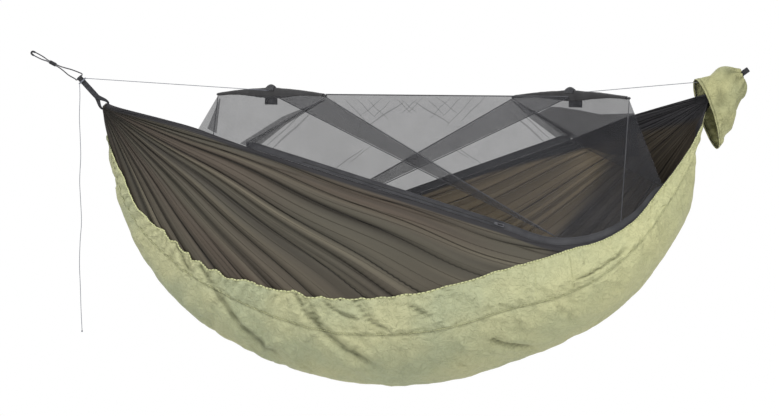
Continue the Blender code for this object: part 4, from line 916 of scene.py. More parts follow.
LEFT = Hang(LEFT_BIGHT, LEFT_GATHER, 1)
RIGHT = Hang(RIGHT_TIP, RIGHT_GATHER, -1)
BEAD_RISE = STRAP_WIDTH / 2 + SEAT + KNOT_BEAD


def tail_cord():
    """The free end of the ridge line, hanging from its knot, with a knot in its end."""
    leave = LEFT.place([LEFT_KNOT_RUN, -BEAD_RISE, 0.0]) - [0.0, 0.0, KNOT_BEAD + GAP]
    path = evenly(smooth(leave + np.array(TAIL_ROUTE), 12), 240)
    cord = dress(tube("tail_cord_braid", path, TAIL_RADIUS, 10), "line", "hammock", "tail_cord")
    centre = path[-1] - [0.0, 0.0, TAIL_KNOT_RADIUS * 0.8]
    turn = np.linspace(0, 2 * TAU, 90)
    coil = centre + TAIL_KNOT_RADIUS * 0.55 * stacked(
        np.sin(turn), np.sin(1.5 * turn) * 0.8, np.cos(turn) * 1.2)
    knot = dress(tube("tail_knot_braid", coil, TAIL_RADIUS * 1.05, 10),
                 "line", "hammock", "tail_knot")
    float(lengths(path)[-1])


tail_cord()


def strap_rows(hang, radius, face_run):
    """Front half of the strap: its middle line, the way its width points, and its width.

    A quarter turn round the bight, flat to face_run, drawn in, then a leg that parts
    sideways from the other along a smooth step and turns into the channel."""
    flat, nose = (LAYER_GAP + STRAP_THICKNESS) / 2, radius - STRAP_THICKNESS / 2
    leg_rise, leg_end = CHANNEL_LENGTH / 2 + LEG_BEND, hang.length - LEG_BEND
    splay = BIGHT_LENGTH + (leg_end - BIGHT_LENGTH) * LEG_SPLIT_SHARE
    nose_turn, leg_turn = np.linspace(0, math.pi / 2, 6), np.linspace(0, math.pi / 2, 5)[1:]
    face = [[face_run, 0, -nose, 0, 1, STRAP_WIDTH]] if face_run > nose else []
    start = max(face_run, nose)
    e = np.linspace(0, 1, 7)[1:]
    drawn = (1 - e) ** 2 * (1 + 2 * e)
    lean = np.arctan(leg_rise * 6 * e * (1 - e) / (leg_end - splay))
    return np.vstack([
        stacked(nose - nose * np.cos(nose_turn), 0, -nose * np.sin(nose_turn), 0, 1, STRAP_WIDTH),
        *face,
        stacked(start + e * (BIGHT_LENGTH - start), 0, -flat - (nose - flat) * drawn,
                0, 1, STRAP_WIDTH),
        [splay, 0, -flat, 0, 1, STRAP_WIDTH],
        stacked(splay + (leg_end - splay) * e, leg_rise * e * e * (3 - 2 * e), -flat,
                -np.sin(lean), np.cos(lean), STRAP_WIDTH + (STRAP_NARROW - STRAP_WIDTH) * e),
        stacked(leg_end + LEG_BEND * np.sin(leg_turn), leg_rise - LEG_BEND * (1 - np.cos(leg_turn)),
                -flat, np.sin(leg_turn), np.cos(leg_turn), STRAP_NARROW),
        [hang.length, (leg_rise - LEG_BEND) / 2, -flat / 2, 1, 0, STRAP_NARROW]])


def webbing_loop(side, hang, radius, face_run=0.0):
    """The strap: a rounded flat profile carried round the loop and back, turned over."""
    front = strap_rows(hang, radius, face_run)
    middle = [hang.length, 0, 0, 1, 0, STRAP_NARROW]
    rows = np.vstack([front, middle, front[:0:-1] * [1, -1, -1, 1, -1, 1]])
    path = hang.place(rows[:, :3])
    heading = tangents(path, True)
    width_way = rows[:, 3:5] @ hang.axes[:2]
    width_way = unit(width_way - heading * np.sum(width_way * heading, axis=1)[:, None])
    thick_way = np.cross(heading, width_way)
    table = np.concatenate(
        [path, width_way * rows[:, 5:] / 2, thick_way * STRAP_THICKNESS / 2], axis=1)
    flip = np.repeat([1, -1], (3, 6))
    fine = spans(np.concatenate([table[-1:] * flip, table, table[:2] * flip]), 6)
    turn = turns(20) + TAU / 40
    wide, high = blunt(np.cos(turn), 0.35), blunt(np.sin(turn), 0.6)
    skin = (fine[:, None, :3] + fine[:, None, 3:6] * wide[:, None]
            + fine[:, None, 6:] * high[:, None])
    pitch = lengths(fine[:, :3])[-1] / (len(fine) - 1)
    loop = grid_mesh(side + "_webbing_strap", skin, True, True, (pitch, STRAP_WIDTH / 10), 10)
    dress(faced(loop), "webbing", "hammock", side + "_webbing_loop")


def gathered_channel(side, hang):
    """Ruched channel: rings round the strap that swell and pinch in turn."""
    along = np.linspace(-CHANNEL_LENGTH / 2, CHANNEL_LENGTH / 2, 33)
    path = hang.place(stacked(hang.length, along, 0))
    angle = turns(48)
    ruche = 0.0006 * np.cos(along[:, None] * TAU / 0.0052 + 1.3 * np.sin(angle * 3)[None])
    drawn = step(0, 0.003, CHANNEL_LENGTH / 2 - np.abs(along))[:, None]
    size = CHANNEL_BORE + CHANNEL_WALL * (0.55 + 0.45 * drawn) + ruche * drawn
    way = np.cos(angle)[:, None] * hang.run + np.sin(angle)[:, None] * hang.out
    outer = path[:, None] + way[None] * size[..., None]
    inner = path[:, None] + way[None] * CHANNEL_BORE
    both = np.concatenate([outer, inner[::-1]])
    zero = np.zeros(both.shape[:2])
    flat = stacked(zero, zero)
    # Painted shade in fourteen bands round the channel, between its ruches
    shades = {"crease_shade": 0.3 - 0.3 * np.cos(angle * 14)[None] + zero, "fan_mix": zero,
              "hem": zero + 0.2, "inside": zero, "end_shade": zero}
    maps = {"fan_left": flat + both[..., :2] * 40, "fan_right": flat, "fine_left": flat + 0.5,
            "fine_right": flat, "edges": flat}
    piece = grid_mesh(side + "_channel_fabric", both, True, True, shades=shades, maps=maps)
    dress(faced(piece), "body", "hammock", side + "_gathered_channel")


def layer_out(run, radius):
    """How far the strap's outer face stands out at a run from its tip."""
    flat, nose = (LAYER_GAP + STRAP_THICKNESS) / 2, radius - STRAP_THICKNESS / 2
    e = min(max((run - nose) / (BIGHT_LENGTH - nose), 0.0), 1.0)
    return flat + (nose - flat) * (1 - e) ** 2 * (1 + 2 * e) + STRAP_THICKNESS / 2


def ridge_knot(side, hang, run, radius, lumps):
    """Three turns of cord round the strap, side by side, and a lump where an end leaves."""
    face, off = layer_out(run - KNOT_RADIUS * 3, radius), KNOT_RADIUS * 0.8 + SEAT
    share = np.linspace(0, 3, 240, endpoint=False)
    wide = blunt(np.cos(share * TAU), 0.45) * (STRAP_WIDTH / 2 + off)
    high = blunt(np.sin(share * TAU), 0.45) * (face + off)
    path = hang.place(stacked(run + (share / 3 - 0.5) * KNOT_RADIUS * 3.2, wide, high))
    dress(tube(side + "_knot_turns", path, KNOT_RADIUS * 0.8, 10),
          "line", "hammock", side + "_ridge_knot")
    turn = np.linspace(0, 2 * TAU, 80)
    coil = stacked(np.sin(turn), np.cos(turn) * 1.05, np.sin(1.5 * turn) * 0.8)
    for label, rise in lumps:
        path = hang.place(np.array([run, rise, 0.0]) + KNOT_BEAD * 0.55 * coil)
        dress(tube(f"{side}_knot_lump_{label}", path, KNOT_RADIUS * 0.85, 10),
              "line", "hammock", side + "_ridge_knot")


def rod_path(middle, count=121):
    """The rod's bowed line, near end to far end: a parabola of height ROD_ARCH."""
    half = np.array([-ROD_RUN, math.sqrt(ROD_LENGTH ** 2 - ROD_RUN ** 2), 0.0]) / 2
    near, far = (np.array([middle[0], 0.0, middle[1]]) + end for end in (-half, half))
    t = np.linspace(0, 1, count)[:, None]
    line = near + (far - near) * t
    line[:, 2] += (4 * ROD_ARCH * t * (1 - t))[:, 0]
    return line


def ridge_line(side, hang, run, middle):
    """Ridge line, taut from its knot to the hanger loop over the rod."""
    bead = hang.place([run, BEAD_RISE, 0.0])
    top = np.array([middle[0], 0.0, middle[1] + ROD_ARCH])
    toward = unit(top - bead)
    depth = math.sqrt(ROD_LENGTH ** 2 - ROD_RUN ** 2)
    reach = (SLEEVE_HALF_WIDTH + GAP + LOOP_WALL) / math.cos(math.atan2(ROD_RUN, depth))
    ends = [bead + toward * KNOT_BEAD * 0.6, top - toward * (reach - 0.0004)]
    dress(tube(side + "_ridge_braid", evenly(np.stack(ends), 60), LINE_RADIUS, 10),
          "line", "hammock", side + "_ridge_line")


def suspension_rope(hang):
    """Endless rope from the eye, laid together, and round the bight of the webbing."""
    heading, out = unit(hang.tip), np.array([0.0, 1.0, 0.0])
    across = np.array([-heading[2], 0.0, heading[0]])
    pair = ROPE_RADIUS + ROPE_PAIR_GAP / 2
    upper = [
        (-EYE_NOSE, 0.0), (-EYE_NOSE * 0.55, EYE_HALF_WIDTH * 0.72),
        (EYE_HALF_WIDTH, EYE_HALF_WIDTH),
        (EYE_LENGTH * 0.5, EYE_HALF_WIDTH), (EYE_LENGTH * 0.8, EYE_HALF_WIDTH * 0.75),
        (EYE_LENGTH, pair), ((EYE_LENGTH + ROPE_SPLIT) / 2, pair), (ROPE_SPLIT, pair),
        (ROPE_SPLIT + EYE_LENGTH * 0.35, pair * 2.2), (ROPE_SPLIT + EYE_LENGTH * 0.8, pair * 4.4)]
    edge, inside = STRAP_WIDTH / 2 + ROPE_RADIUS, STRAP_THICKNESS / 2 + ROPE_RADIUS + GAP
    bight = [
        (-ROPE_RADIUS * 2, edge + ROPE_RADIUS * 1.35),
        (ROPE_RADIUS * 0.4, edge + ROPE_RADIUS * 1.3),
        (inside * 0.84, edge + ROPE_RADIUS * 0.4), (inside, edge - ROPE_RADIUS * 1.3)]
    points = [heading * a + across * b for a, b in upper]
    points += [hang.place([a, b, 0.0]) for a, b in bight] + [hang.place([inside, 0.0, 0.0])]
    points += [hang.place([a, -b, 0.0]) for a, b in bight[::-1]]
    points += [heading * a - across * b for a, b in upper[:0:-1]]
    loop = smooth(points, 24, closed=True)
    path = evenly(np.concatenate([loop, loop[:1]]), 721)[:-1]
    rope = tube("suspension_rope_braid", path, ROPE_RADIUS, 14, closed=True)
    dress(faced(rope), "rope", "suspension", "left_suspension_rope")

    whole = np.vstack([path, path[:1]])
    around = np.linspace(-EYE_SLEEVE_REACH, EYE_SLEEVE_REACH, 60) % lengths(whole)[-1]
    eye = at_lengths(whole, around)
    side = np.broadcast_to(out, eye.shape)
    up = unit(np.cross(tangents(eye), side))
    bore = ROPE_RADIUS + SEAT * 0.4
    ends = step(0, 0.12, 0.5 - np.abs(np.linspace(-0.5, 0.5, 60)))
    wound = 0.0002 * np.cos(np.linspace(0, TAU * 9, 60))
    size = bore + EYE_SLEEVE_WALL * (0.5 + 0.5 * ends) + wound
    cover = hollow("eye_sleeve_cover", rings(eye, side, up, size, size, 24),
                   rings(eye, side, up, bore, bore, 24))
    dress(cover, "whipping", "suspension", "left_eye_sleeve")

    run = np.linspace(-WHIPPING_LENGTH / 2, WHIPPING_LENGTH / 2, 120)
    line = heading * (EYE_LENGTH + ROPE_SPLIT) / 2 + run[:, None] * heading
    wide, high = (ROPE_RADIUS + SEAT) * 1.25, 2 * ROPE_RADIUS + ROPE_PAIR_GAP / 2 + 2 * SEAT
    thread = 0.00035 * np.abs(np.sin(run * math.pi / 0.0013))
    cover = hollow("whipping_turns",
                   rings(line, out, across, wide + 0.0007 + thread, high + 0.0007 + thread, 32),
                   rings(line, out, across, wide, high, 32))
    dress(cover, "whipping", "suspension", "left_rope_whipping")


webbing_loop("left", LEFT, LEFT_BIGHT_RADIUS)
webbing_loop("right", RIGHT, RIGHT_BIGHT_RADIUS, RIGHT_FACE_RUN)
gathered_channel("left", LEFT)
gathered_channel("right", RIGHT)
ridge_knot("left", LEFT, LEFT_KNOT_RUN, LEFT_BIGHT_RADIUS,
           (("upper", BEAD_RISE), ("lower", -BEAD_RISE)))
ridge_knot("right", RIGHT, RIGHT_KNOT_RUN, RIGHT_BIGHT_RADIUS, (("upper", BEAD_RISE),))
ridge_line("left", LEFT, LEFT_KNOT_RUN, LEFT_ROD)
ridge_line("right", RIGHT, RIGHT_KNOT_RUN, RIGHT_ROD)
suspension_rope(LEFT)


# Hammock body

def fan_breaks(seed, count, low, high):
    """Angles where folds meet, unevenly spread between two angles."""
    gaps = np.random.default_rng(seed).uniform(0.55, 1.5, count)
    return low + (high - low) * np.concatenate([[0], np.cumsum(gaps)]) / gaps.sum()


def fan(points, seed, count):
    """Folds that radiate from a gather: phase counts them by the angle below the level,
    bent by slow sines of the distance from the gather, which is reach. crest is near the
    size of the sine of the phase, with round crests and narrower valleys, and each
    valley has its own strength and runs out at its own length."""
    angle = np.arctan2(points[..., 1] + 0.004, points[..., 0] + 0.02)
    reach = np.hypot(points[..., 0], points[..., 1])
    breaks = fan_breaks(seed, count, 0.12, 1.75)
    bend = (0.010 * np.sin(reach * 4.1 + 3.0 * angle + seed)
            + 0.006 * np.sin(reach * 9.7 + 7.0 * angle))
    phase = np.interp(angle + bend * step(0.1, 0.5, reach), breaks, np.arange(count + 1.0))
    picked = np.random.default_rng(seed + 1).uniform(0.0, 1.0, (count + 2, 3))
    first = np.floor(phase).astype(int)
    share = step(0.0, 1.0, phase - first)[..., None]
    own = picked[first] + (picked[first + 1] - picked[first]) * share
    length = 0.55 + 1.6 * own[..., 1]
    strength = (0.22 + 0.78 * own[..., 0]) * (1 - 0.75 * step(length, length + 0.5, reach))
    crest = (arch(phase) ** 2 + 0.04) ** 0.45
    return phase, reach, crest, strength, reach * 1.63 / count


def body_grid():
    """Cloth with folds. The wall moves out at crests and in at valleys, by a share of
    the folds' spacing up to 12 mm, less under the quilt and nothing at the hem."""
    even = np.linspace(0, 1, 176)
    rows = even - np.sin(TAU * even) / (2.6 * TAU)
    near, far = both_sides(rows, HEM_LINE)
    crosses = banded((0 * near, near, far, 0 * far + 1), (110, 58, 79))
    base = cloth_points(rows, crosses)
    is_near = crosses < 0.5
    own = np.where(is_near[..., None], base, turned(base))
    row = np.where(is_near, rows[:, None], 1 - rows[:, None])
    to_left = own[..., [0, 2]]
    to_right = stacked(CLOTH_LENGTH - own[..., 0], own[..., 2])
    mix = step(0.66, 0.93, row)
    fans = [fan(to_left, 11, 22), fan(to_right, 23, 20)]
    minor = [fan(to_left, 31, 57), fan(to_right, 43, 49)]
    covered = step(-0.004, 0.012, np.minimum(crosses - near[:, None], far[:, None] - crosses))
    from_hem = np.minimum(crosses, 1 - crosses)
    free = step(0.0, 0.035, from_hem) * step(0.0, 0.05, np.abs(crosses - 0.5))
    height, crease_shade = np.zeros(base.shape[:2]), np.zeros(base.shape[:2])
    for (_, reach, crest, strength, spacing), weight in zip(fans, (1 - mix, mix)):
        size = np.minimum(spacing * 0.28, 0.0120) * strength * weight
        fade = 1 - 0.25 * step(0.7, 1.7, reach)
        height += size * fade * (crest - 0.62)
        # Painted shade in the fold valleys, as strong as the folds
        crease_shade += 0.75 * weight * strength * fade * (1 - np.minimum(crest, 1.0))
    height *= free * (1 - 0.55 * covered)
    height -= 0.0022 * covered * free
    plain_grid = world(base)
    sagging = 0.004 * ripple(plain_grid, 0.35, 5) * free * (1 - covered)
    grid = plain_grid + outward(plain_grid) * (height + sagging)[..., None]
    grid = grid - LEFT.run * GATHER_OFFSET * np.exp(-rows / 0.006)[:, None, None]
    # Painted shade that grows towards the left gather, added to the crease shade
    dark = 0.40 * (1 - step(0.0, 0.22, rows))[:, None]
    # Painted charcoal shade past a slanting line at the right end, its border bent by the crease
    # shade
    past_shade_line = (plain_grid[..., 0] - END_SHADE_POINT[0]
                 - END_SHADE_SLOPE * (plain_grid[..., 2] - END_SHADE_POINT[1]))
    end_shade = 0.94 * step(-0.05, 0.05, past_shade_line + 0.03 * (crease_shade - 0.3))
    along_right = np.where(is_near, row, 1 - row)
    hem_width = HEM_WIDTH + HEM_WIDENING * step(0.60, 0.95, along_right)
    run = np.linalg.norm(np.diff(base, axis=1, prepend=base[:, :1]), axis=2)
    to_edge = np.minimum(np.cumsum(run, axis=1), np.cumsum(run[:, ::-1], axis=1)[:, ::-1])
    hem = 1 - step(hem_width * 0.8, hem_width * 1.15, to_edge)
    shades = {"crease_shade": np.clip(crease_shade * (0.35 + 0.65 * free) + dark, 0, 1), "fan_mix": mix,
              "hem": hem, "end_shade": end_shade}
    maps = {label + side: stacked(*folds[:2]) for label, pair in (("fan_", fans), ("fine_", minor))
            for side, folds in zip(("left", "right"), pair)}
    maps["edges"] = stacked(to_edge, along_right)
    return grid, outward(grid), shades, maps


def hammock_body():
    """The cloth, a thin wall on both sides of the folded grid."""
    grid, out, shades, maps = body_grid()
    half = CLOTH_WALL * 0.35
    piece = walled("hammock_body_cloth", grid - out * half, grid + out * half, shades, maps,
                   scale=(BODY_RUN / grid.shape[0], BODY_GIRTH / grid.shape[1]))
    dress(piece, "body", "hammock", "hammock_cloth")


def crumpled(name, grid, pinned, shrink, pressure, cap, closed_columns=False, frames=18):
    """Fabric that puckers: a cloth, a little too large for its frame, pinned where it is
    sewn, let settle without weight. No point moves further than the cap."""
    piece = grid_mesh(name, grid, closed_columns=closed_columns)
    held = piece.vertex_groups.new(name="sewn_down")
    levels = np.round(pinned, 1)
    for level in np.unique(levels[levels > 0]):
        held.add(np.flatnonzero(levels.ravel() == level).tolist(), float(level), "REPLACE")
    cloth = piece.modifiers.new("settle", "CLOTH")
    feel = cloth.settings
    feel.quality, feel.mass, feel.air_damping = 5, 0.25, 4.0
    feel.tension_stiffness = feel.compression_stiffness = feel.shear_stiffness = 12.0
    feel.bending_stiffness, feel.bending_damping = 0.12, 0.8
    feel.vertex_group_mass, feel.pin_stiffness = held.name, 1.0
    feel.shrink_min = feel.shrink_max = -shrink
    feel.use_pressure, feel.uniform_pressure_force = True, pressure
    feel.effector_weights.gravity = 0.0
    touching = cloth.collision_settings
    touching.use_collision = touching.use_self_collision = False
    cloth.point_cache.frame_start, cloth.point_cache.frame_end = 1, frames
    for number in range(1, frames + 1):
        bpy.context.scene.frame_set(number)
    ready = piece.evaluated_get(bpy.context.evaluated_depsgraph_get())
    places = np.empty(len(ready.data.vertices) * 3)
    ready.data.vertices.foreach_get("co", places)
    bpy.data.objects.remove(piece, do_unlink=True)
    bpy.context.scene.frame_set(1)
    moved = places.reshape(grid.shape) - grid
    far = np.linalg.norm(moved, axis=-1, keepdims=True)
    return grid + moved * np.minimum(1.0, cap / np.maximum(far, 1e-9))


def fold_depth(side_view, lines, width):
    """Depth share of long folds: 1 on a fold's line in the side view and falling as a
    bell of the distance, with a crest as high as a third beside it."""
    total = np.zeros(side_view.shape[:-1])
    for points in lines:
        line = evenly(smooth(points, 8), 40)
        distance = np.linalg.norm(side_view[..., None, :] - line, axis=-1)
        nearest = distance.min(axis=-1)
        place = distance.argmin(axis=-1) / (len(line) - 1)
        ends = step(0.0, 0.10, place) * step(0.0, 0.22, 1 - place) * (nearest < 0.2)
        share = nearest / width
        total = np.maximum(total, bell(share, 1.0) * ends) - 0.4 * bell(share - 2.4, 1.0) * ends
    return total


def quilt_lines(rows):
    """Cross shares of the under layer's lines: near hem, near seam, far seam and far hem.
    The hems step in and out, unevenly, less at their ends and on the right."""
    (hem, far_hem), (seam, far_seam) = (both_sides(rows, line) for line in (HEM_LINE, SEAM_LINE))
    run = rows * EDGE_LENGTH
    ragged = (0.80 * np.abs(np.sin(run * math.pi / HEM_SCALLOP + 1.9 * np.sin(run * 11.0)))
              + 0.20 * np.abs(np.sin(run * math.pi / HEM_NOTCH + 2.0 * np.sin(run * 5.0))))
    along = cloth_points(rows, hem[:, None])[:, 0, 0] + LEFT_GATHER[0]
    calm = 1 - 0.72 * step(0.95, 1.12, along)
    steps = HEM_STEP_SHARE * (ragged - 0.4) * (
        step(0.0, 0.08, rows) * step(0.0, 0.2, 1 - rows) * calm)
    hem = hem + steps * step(0.04, 0.10, hem)
    far_hem = far_hem - steps[::-1] * step(0.04, 0.10, 1 - far_hem)
    return hem, np.maximum(seam, hem + 0.02), np.minimum(far_seam, far_hem - 0.02), far_hem


def quilt():
    """Under layer: an outer skin over soft filling, sewn down at its hems and along two
    long seams, gathered by its elastic hems, with long slanting folds."""
    count, edge_band, middle_band = 210, 28, 74
    near_seam, far_seam = edge_band, edge_band + middle_band
    even = np.linspace(0, 1, count)
    rows = ROW_SHARES[1] + (ROW_SHARES[-2] - ROW_SHARES[1]) * (
        even - np.sin(TAU * even) / (4 * TAU))
    lines = quilt_lines(rows)
    crosses = banded(lines, (edge_band, middle_band, edge_band))
    base = world(cloth_points(rows, crosses))
    out = outward(base)
    hem, far_hem = lines[0][:, None], lines[-1][:, None]
    ends = np.clip(np.minimum(rows, 1 - rows) / 0.24, 0, 1)[:, None]
    across = (crosses - hem) / (far_hem - hem)
    rise = np.clip(arch(across), 0, 1) ** 0.5 * np.sin(ends * math.pi / 2)
    inner_lift = CLOTH_WALL / 2 + SEAT + 0.5 * QUILT_AIR * rise
    lift = (CLOTH_WALL / 2 + SEAT + QUILT_AIR * rise + QUILT_HEM_WALL
            + (QUILT_LOFT - QUILT_HEM_WALL) * rise)
    columns = crosses.shape[1]
    column = np.arange(columns)[None]
    width = np.linalg.norm(np.gradient(base, axis=1), axis=2)
    from_seam = np.minimum(np.abs(column - near_seam), np.abs(column - far_seam)) * width
    from_hem = np.minimum(column, columns - 1 - column) * width
    lift -= GROOVE_DEPTH * bell(from_seam, GROOVE_WIDTH) * ends
    along = np.where(base[..., 1] < 0, base[..., 0],
                     LEFT_GATHER[0] + RIGHT_GATHER[0] - base[..., 0])
    side_view = stacked(along, base[..., 2])
    folds = (fold_depth(side_view, QUILT_FOLDS[:2], WIDE_FOLD)
             + fold_depth(side_view, QUILT_FOLDS[2:], NARROW_FOLD))
    folds = folds * step(0.01, 0.06, np.abs(base[..., 1]))
    lift -= FOLD_DEPTH * folds
    run = np.cumsum(np.linalg.norm(np.diff(base, axis=0, prepend=base[:1]), axis=2), axis=0)
    puckers = (np.sin(run * TAU / PUCKER_SPACING + 6.0 * ripple(base, 0.16, 71))
               * np.exp(-from_hem / (0.055 + 0.030 * ripple(base, 0.2, 72))))
    puckers *= 1 - 0.6 * step(0.95, 1.20, along)
    lift += (PUCKER_HEIGHT * puckers * ends * (0.4 + 0.6 * step(0, 0.004, from_hem))
             + WRINKLE_HEIGHT * ripple(base, 0.10, 77) * rise)
    lift += FINE_WRINKLE_HEIGHT * ripple(base * [1.0, 1.0, 0.45], 0.045, 79) * rise
    skin = base + out * np.maximum(lift, inner_lift + 0.0022)[..., None]
    pinned = np.zeros(skin.shape[:2])
    pinned[:, [0, -1]] = pinned[[0, -1]] = 1.0
    pinned[:, [1, -2]] = 0.6
    pinned[:, [near_seam, far_seam]] = 1.0
    pinned = np.maximum(pinned, 0.25 * np.clip(folds, 0, 1))
    skin = crumpled("quilt_settling", skin, pinned, 0.045, 0.35, 0.007)
    # Painted shade in the seam grooves, in the long folds and in the hollows of the puckers
    crease_shade = np.clip(0.55 * bell(from_seam, 0.004) + 0.85 * np.clip(folds, 0, 1) ** 3
                     + 0.5 * np.clip(-puckers, 0, 1) ** 1.5, 0, 1)
    piece = walled("under_layer_quilt", base + out * inner_lift[..., None], skin,
                   {"crease_shade": crease_shade}, scale=(QUILT_RUN / count, QUILT_GIRTH / columns))
    dress(piece, "quilt", "hammock", "quilted_under_layer")

    for side, edge, inside, seed in (("near", 0, 3, 83), ("far", -1, -4, 89)):
        line = skin[:, edge]
        path = line + unit(line - skin[:, inside]) * (HEM_BEAD * 0.5)
        size = HEM_BEAD * (0.78 + 0.22 * ripple(line, 0.035, seed))
        path = smooth(path[6:-6], 3)
        size = np.repeat(size[6:-6], 3)[:len(path)]
        dress(tube(side + "_elastic_hem", path, size, 12),
              "hem_cord", "hammock", side + "_quilt_hem")

    def sewn_thread(name, place, radius):
        """A thread along a row or column of the skin, a little above it."""
        groove = smooth(skin[place] + out[place] * THREAD_LIFT, 3)
        dress(tube(name, groove, radius, 8), "hem_cord", "hammock", "quilted_under_layer")

    for side, seam in (("near", near_seam), ("far", far_seam)):
        sewn_thread(side + "_quilting_thread", (slice(4, -4), seam), SEAM_THREAD_RADIUS)
    for number, along in enumerate(SHORT_QUILTING):
        row = int(np.argmin(np.abs(base[:, edge_band // 2, 0] - along)))
        for side, place in (("near", (row, slice(1, edge_band))),
                            ("far", (count - 1 - row, slice(-2, -edge_band - 1, -1)))):
            sewn_thread(f"{side}_upright_thread_{number}", place, SHORT_THREAD_RADIUS)


hammock_body()
quilt()


# Net

def hem_line(rows, height):
    """A line above the near edge of the cloth, in cloth coordinates."""
    line = edge_at(rows)
    line[:, 2] -= height
    return line


def laid_flat(grid):
    """Places of a panel's points in its own plane, in metres."""
    first, other = unit(grid[-1, -1] - grid[0, 0]), unit(grid[-1, 0] - grid[0, -1])
    second = unit(np.cross(np.cross(first, other), first))
    return stacked(grid @ first, grid @ second)


def spread(top, foot, rows, columns):
    """A net panel: straight lines from a top line to a foot line, sagging as a sine both
    ways, with slight waves. A line may be a single point."""
    top, foot = (evenly(line, columns) if len(line) > 1 else np.repeat(line, columns, axis=0)
                 for line in (top, foot))
    t = np.linspace(0, 1, rows)[:, None]
    grid = top + (foot - top) * t[..., None]
    belly = arch(t) * arch(np.linspace(0, 1, columns)[None])
    grid[..., 2] -= NET_SAG * belly
    wave = ripple(grid, 0.22, 17) * 0.004 * np.sqrt(belly)
    return grid + np.array([0.0, 1.0, 0.3]) * wave[..., None]


def net_panel(name, node, top, foot, columns, rows, finish="net"):
    """A taut net panel, with its flat size measured as it hangs."""
    grid = spread(top, foot, rows, columns)
    piece = faced(grid_mesh(name, grid, maps={"knit": laid_flat(grid)}))
    dress(piece, finish, "hammock", node)
    width = max(lengths(grid[-1])[-1], lengths(grid[0])[-1])
    cells = np.cross(np.diff(grid, axis=0)[:, :-1], np.diff(grid, axis=1)[:-1])
    area = float(np.linalg.norm(cells, axis=-1).sum())
    height = max(lengths(grid[:, columns // 2])[-1], area / width)
    return grid


def seam_tape(name, node, start, end):
    """Flat tape over a seam: a thin oval carried along the line."""
    line = evenly(np.stack([start, end]), 60)
    line[:, 2] -= 0.004 * arch(np.linspace(0, 1, 60))
    dress(tube(name, line, TAPE_RADIUS, 10, flatten=0.6), "seam", "hammock", node)


def on_panel(grid, places):
    """Points on a net panel that lie at the given places in the side view: the mean of
    the four panel points nearest each, weighed by one over the distance squared."""
    flat = grid.reshape(-1, 3)
    apart = np.linalg.norm(places[:, None] - flat[None, :, [0, 2]], axis=-1)
    nearest = np.argsort(apart, axis=1)[:, :4]
    weights = 1 / (np.take_along_axis(apart, nearest, 1) ** 2 + 1e-7)
    depth = (flat[nearest, 1] * weights).sum(axis=1) / weights.sum(axis=1)
    return stacked(places[:, 0], depth, places[:, 1])


def facing(grid):
    """The panel's direction towards its own side of the hammock."""
    normal = unit(np.cross(grid[-1, -1] - grid[0, 0], grid[-1, 0] - grid[0, -1]))
    return normal * np.sign(normal[1] * (grid[-1, :, 1].mean() - grid[0, :, 1].mean()))


def pleat(name, node, grid, start, end, width):
    """A narrow pinched fold of the net between two places in the side view, widest in
    the middle as the root of a sine and a little wavy."""
    share = np.linspace(0, 1, 40)[:, None]
    places = np.array(start) + (np.array(end) - np.array(start)) * share
    across = unit(np.array([end[1] - start[1], start[0] - end[0]]))
    places = places + across * (0.0022 * np.sin(share * 5.0 + start[0] * 40) * arch(share))
    line = smooth(on_panel(grid, places)[::3], 3)
    normal = facing(grid)
    side = unit(np.cross(tangents(line), normal))
    narrow = width / 2 * arch(np.linspace(0.04, 0.96, len(line)))[:, None] ** 0.5
    strip = normal * PLEAT_LIFT + np.stack(
        [line - side * narrow, line + normal * width * 0.3, line + side * narrow], axis=1)
    dress(grid_mesh(name, strip, maps={"knit": laid_flat(strip)}), "pleat", "hammock", node)


def doubled_net(name, node, grid, upper, lower, finish="strip"):
    """Net folded upon itself: a patch between two lines of the side view, on a panel."""
    top, foot = evenly(np.array(upper), 40), evenly(np.array(lower), 40)
    places = top + (foot - top) * np.linspace(0, 1, 24)[:, None, None]
    patch = on_panel(grid, places.reshape(-1, 2)).reshape(24, 40, 3)
    patch = patch + facing(grid) * DOUBLED_LIFT
    piece = grid_mesh(name, patch, maps={"knit": laid_flat(patch)})
    return dress(piece, finish, "hammock", node)


# Places in the side view, metres along and up: start, end and width
PLEATS = {
    "door": (((1.033, -0.224), (0.893, -0.355), 0.007), ((1.004, -0.222), (0.870, -0.345), 0.004),
             ((1.230, -0.352), (1.112, -0.439), 0.004), ((1.265, -0.340), (1.175, -0.405), 0.003)),
    "main": (((1.380, -0.182), (1.250, -0.268), 0.005), ((1.118, -0.175), (1.205, -0.262), 0.004),
             ((1.160, -0.172), (1.262, -0.280), 0.003), ((1.205, -0.172), (1.275, -0.240), 0.003),
             ((1.245, -0.172), (1.322, -0.247), 0.003), ((1.300, -0.168), (1.215, -0.235), 0.003),
             ((1.350, -0.170), (1.410, -0.225), 0.003), ((1.430, -0.172), (1.372, -0.222), 0.003),
             ((1.470, -0.175), (1.530, -0.232), 0.003)),
}


def side_places(side, *places):
    """Places in the side view, taken round to the far side by the half turn."""
    if side == "near":
        return list(places)
    fall = RIGHT_GATHER[1] - LEFT_GATHER[1]
    return [(LEFT_GATHER[0] + RIGHT_GATHER[0] - x,
             z + fall * (1 - 2 * (x - LEFT_GATHER[0]) / CLOTH_LENGTH)) for x, z in places]


def sleeve_height(share):
    """Half the sleeve's height: deepest at the rod's middle, as a sine squared."""
    return SLEEVE_END_HEIGHT + (SLEEVE_MID_HEIGHT - SLEEVE_END_HEIGHT) * arch(share) ** 2


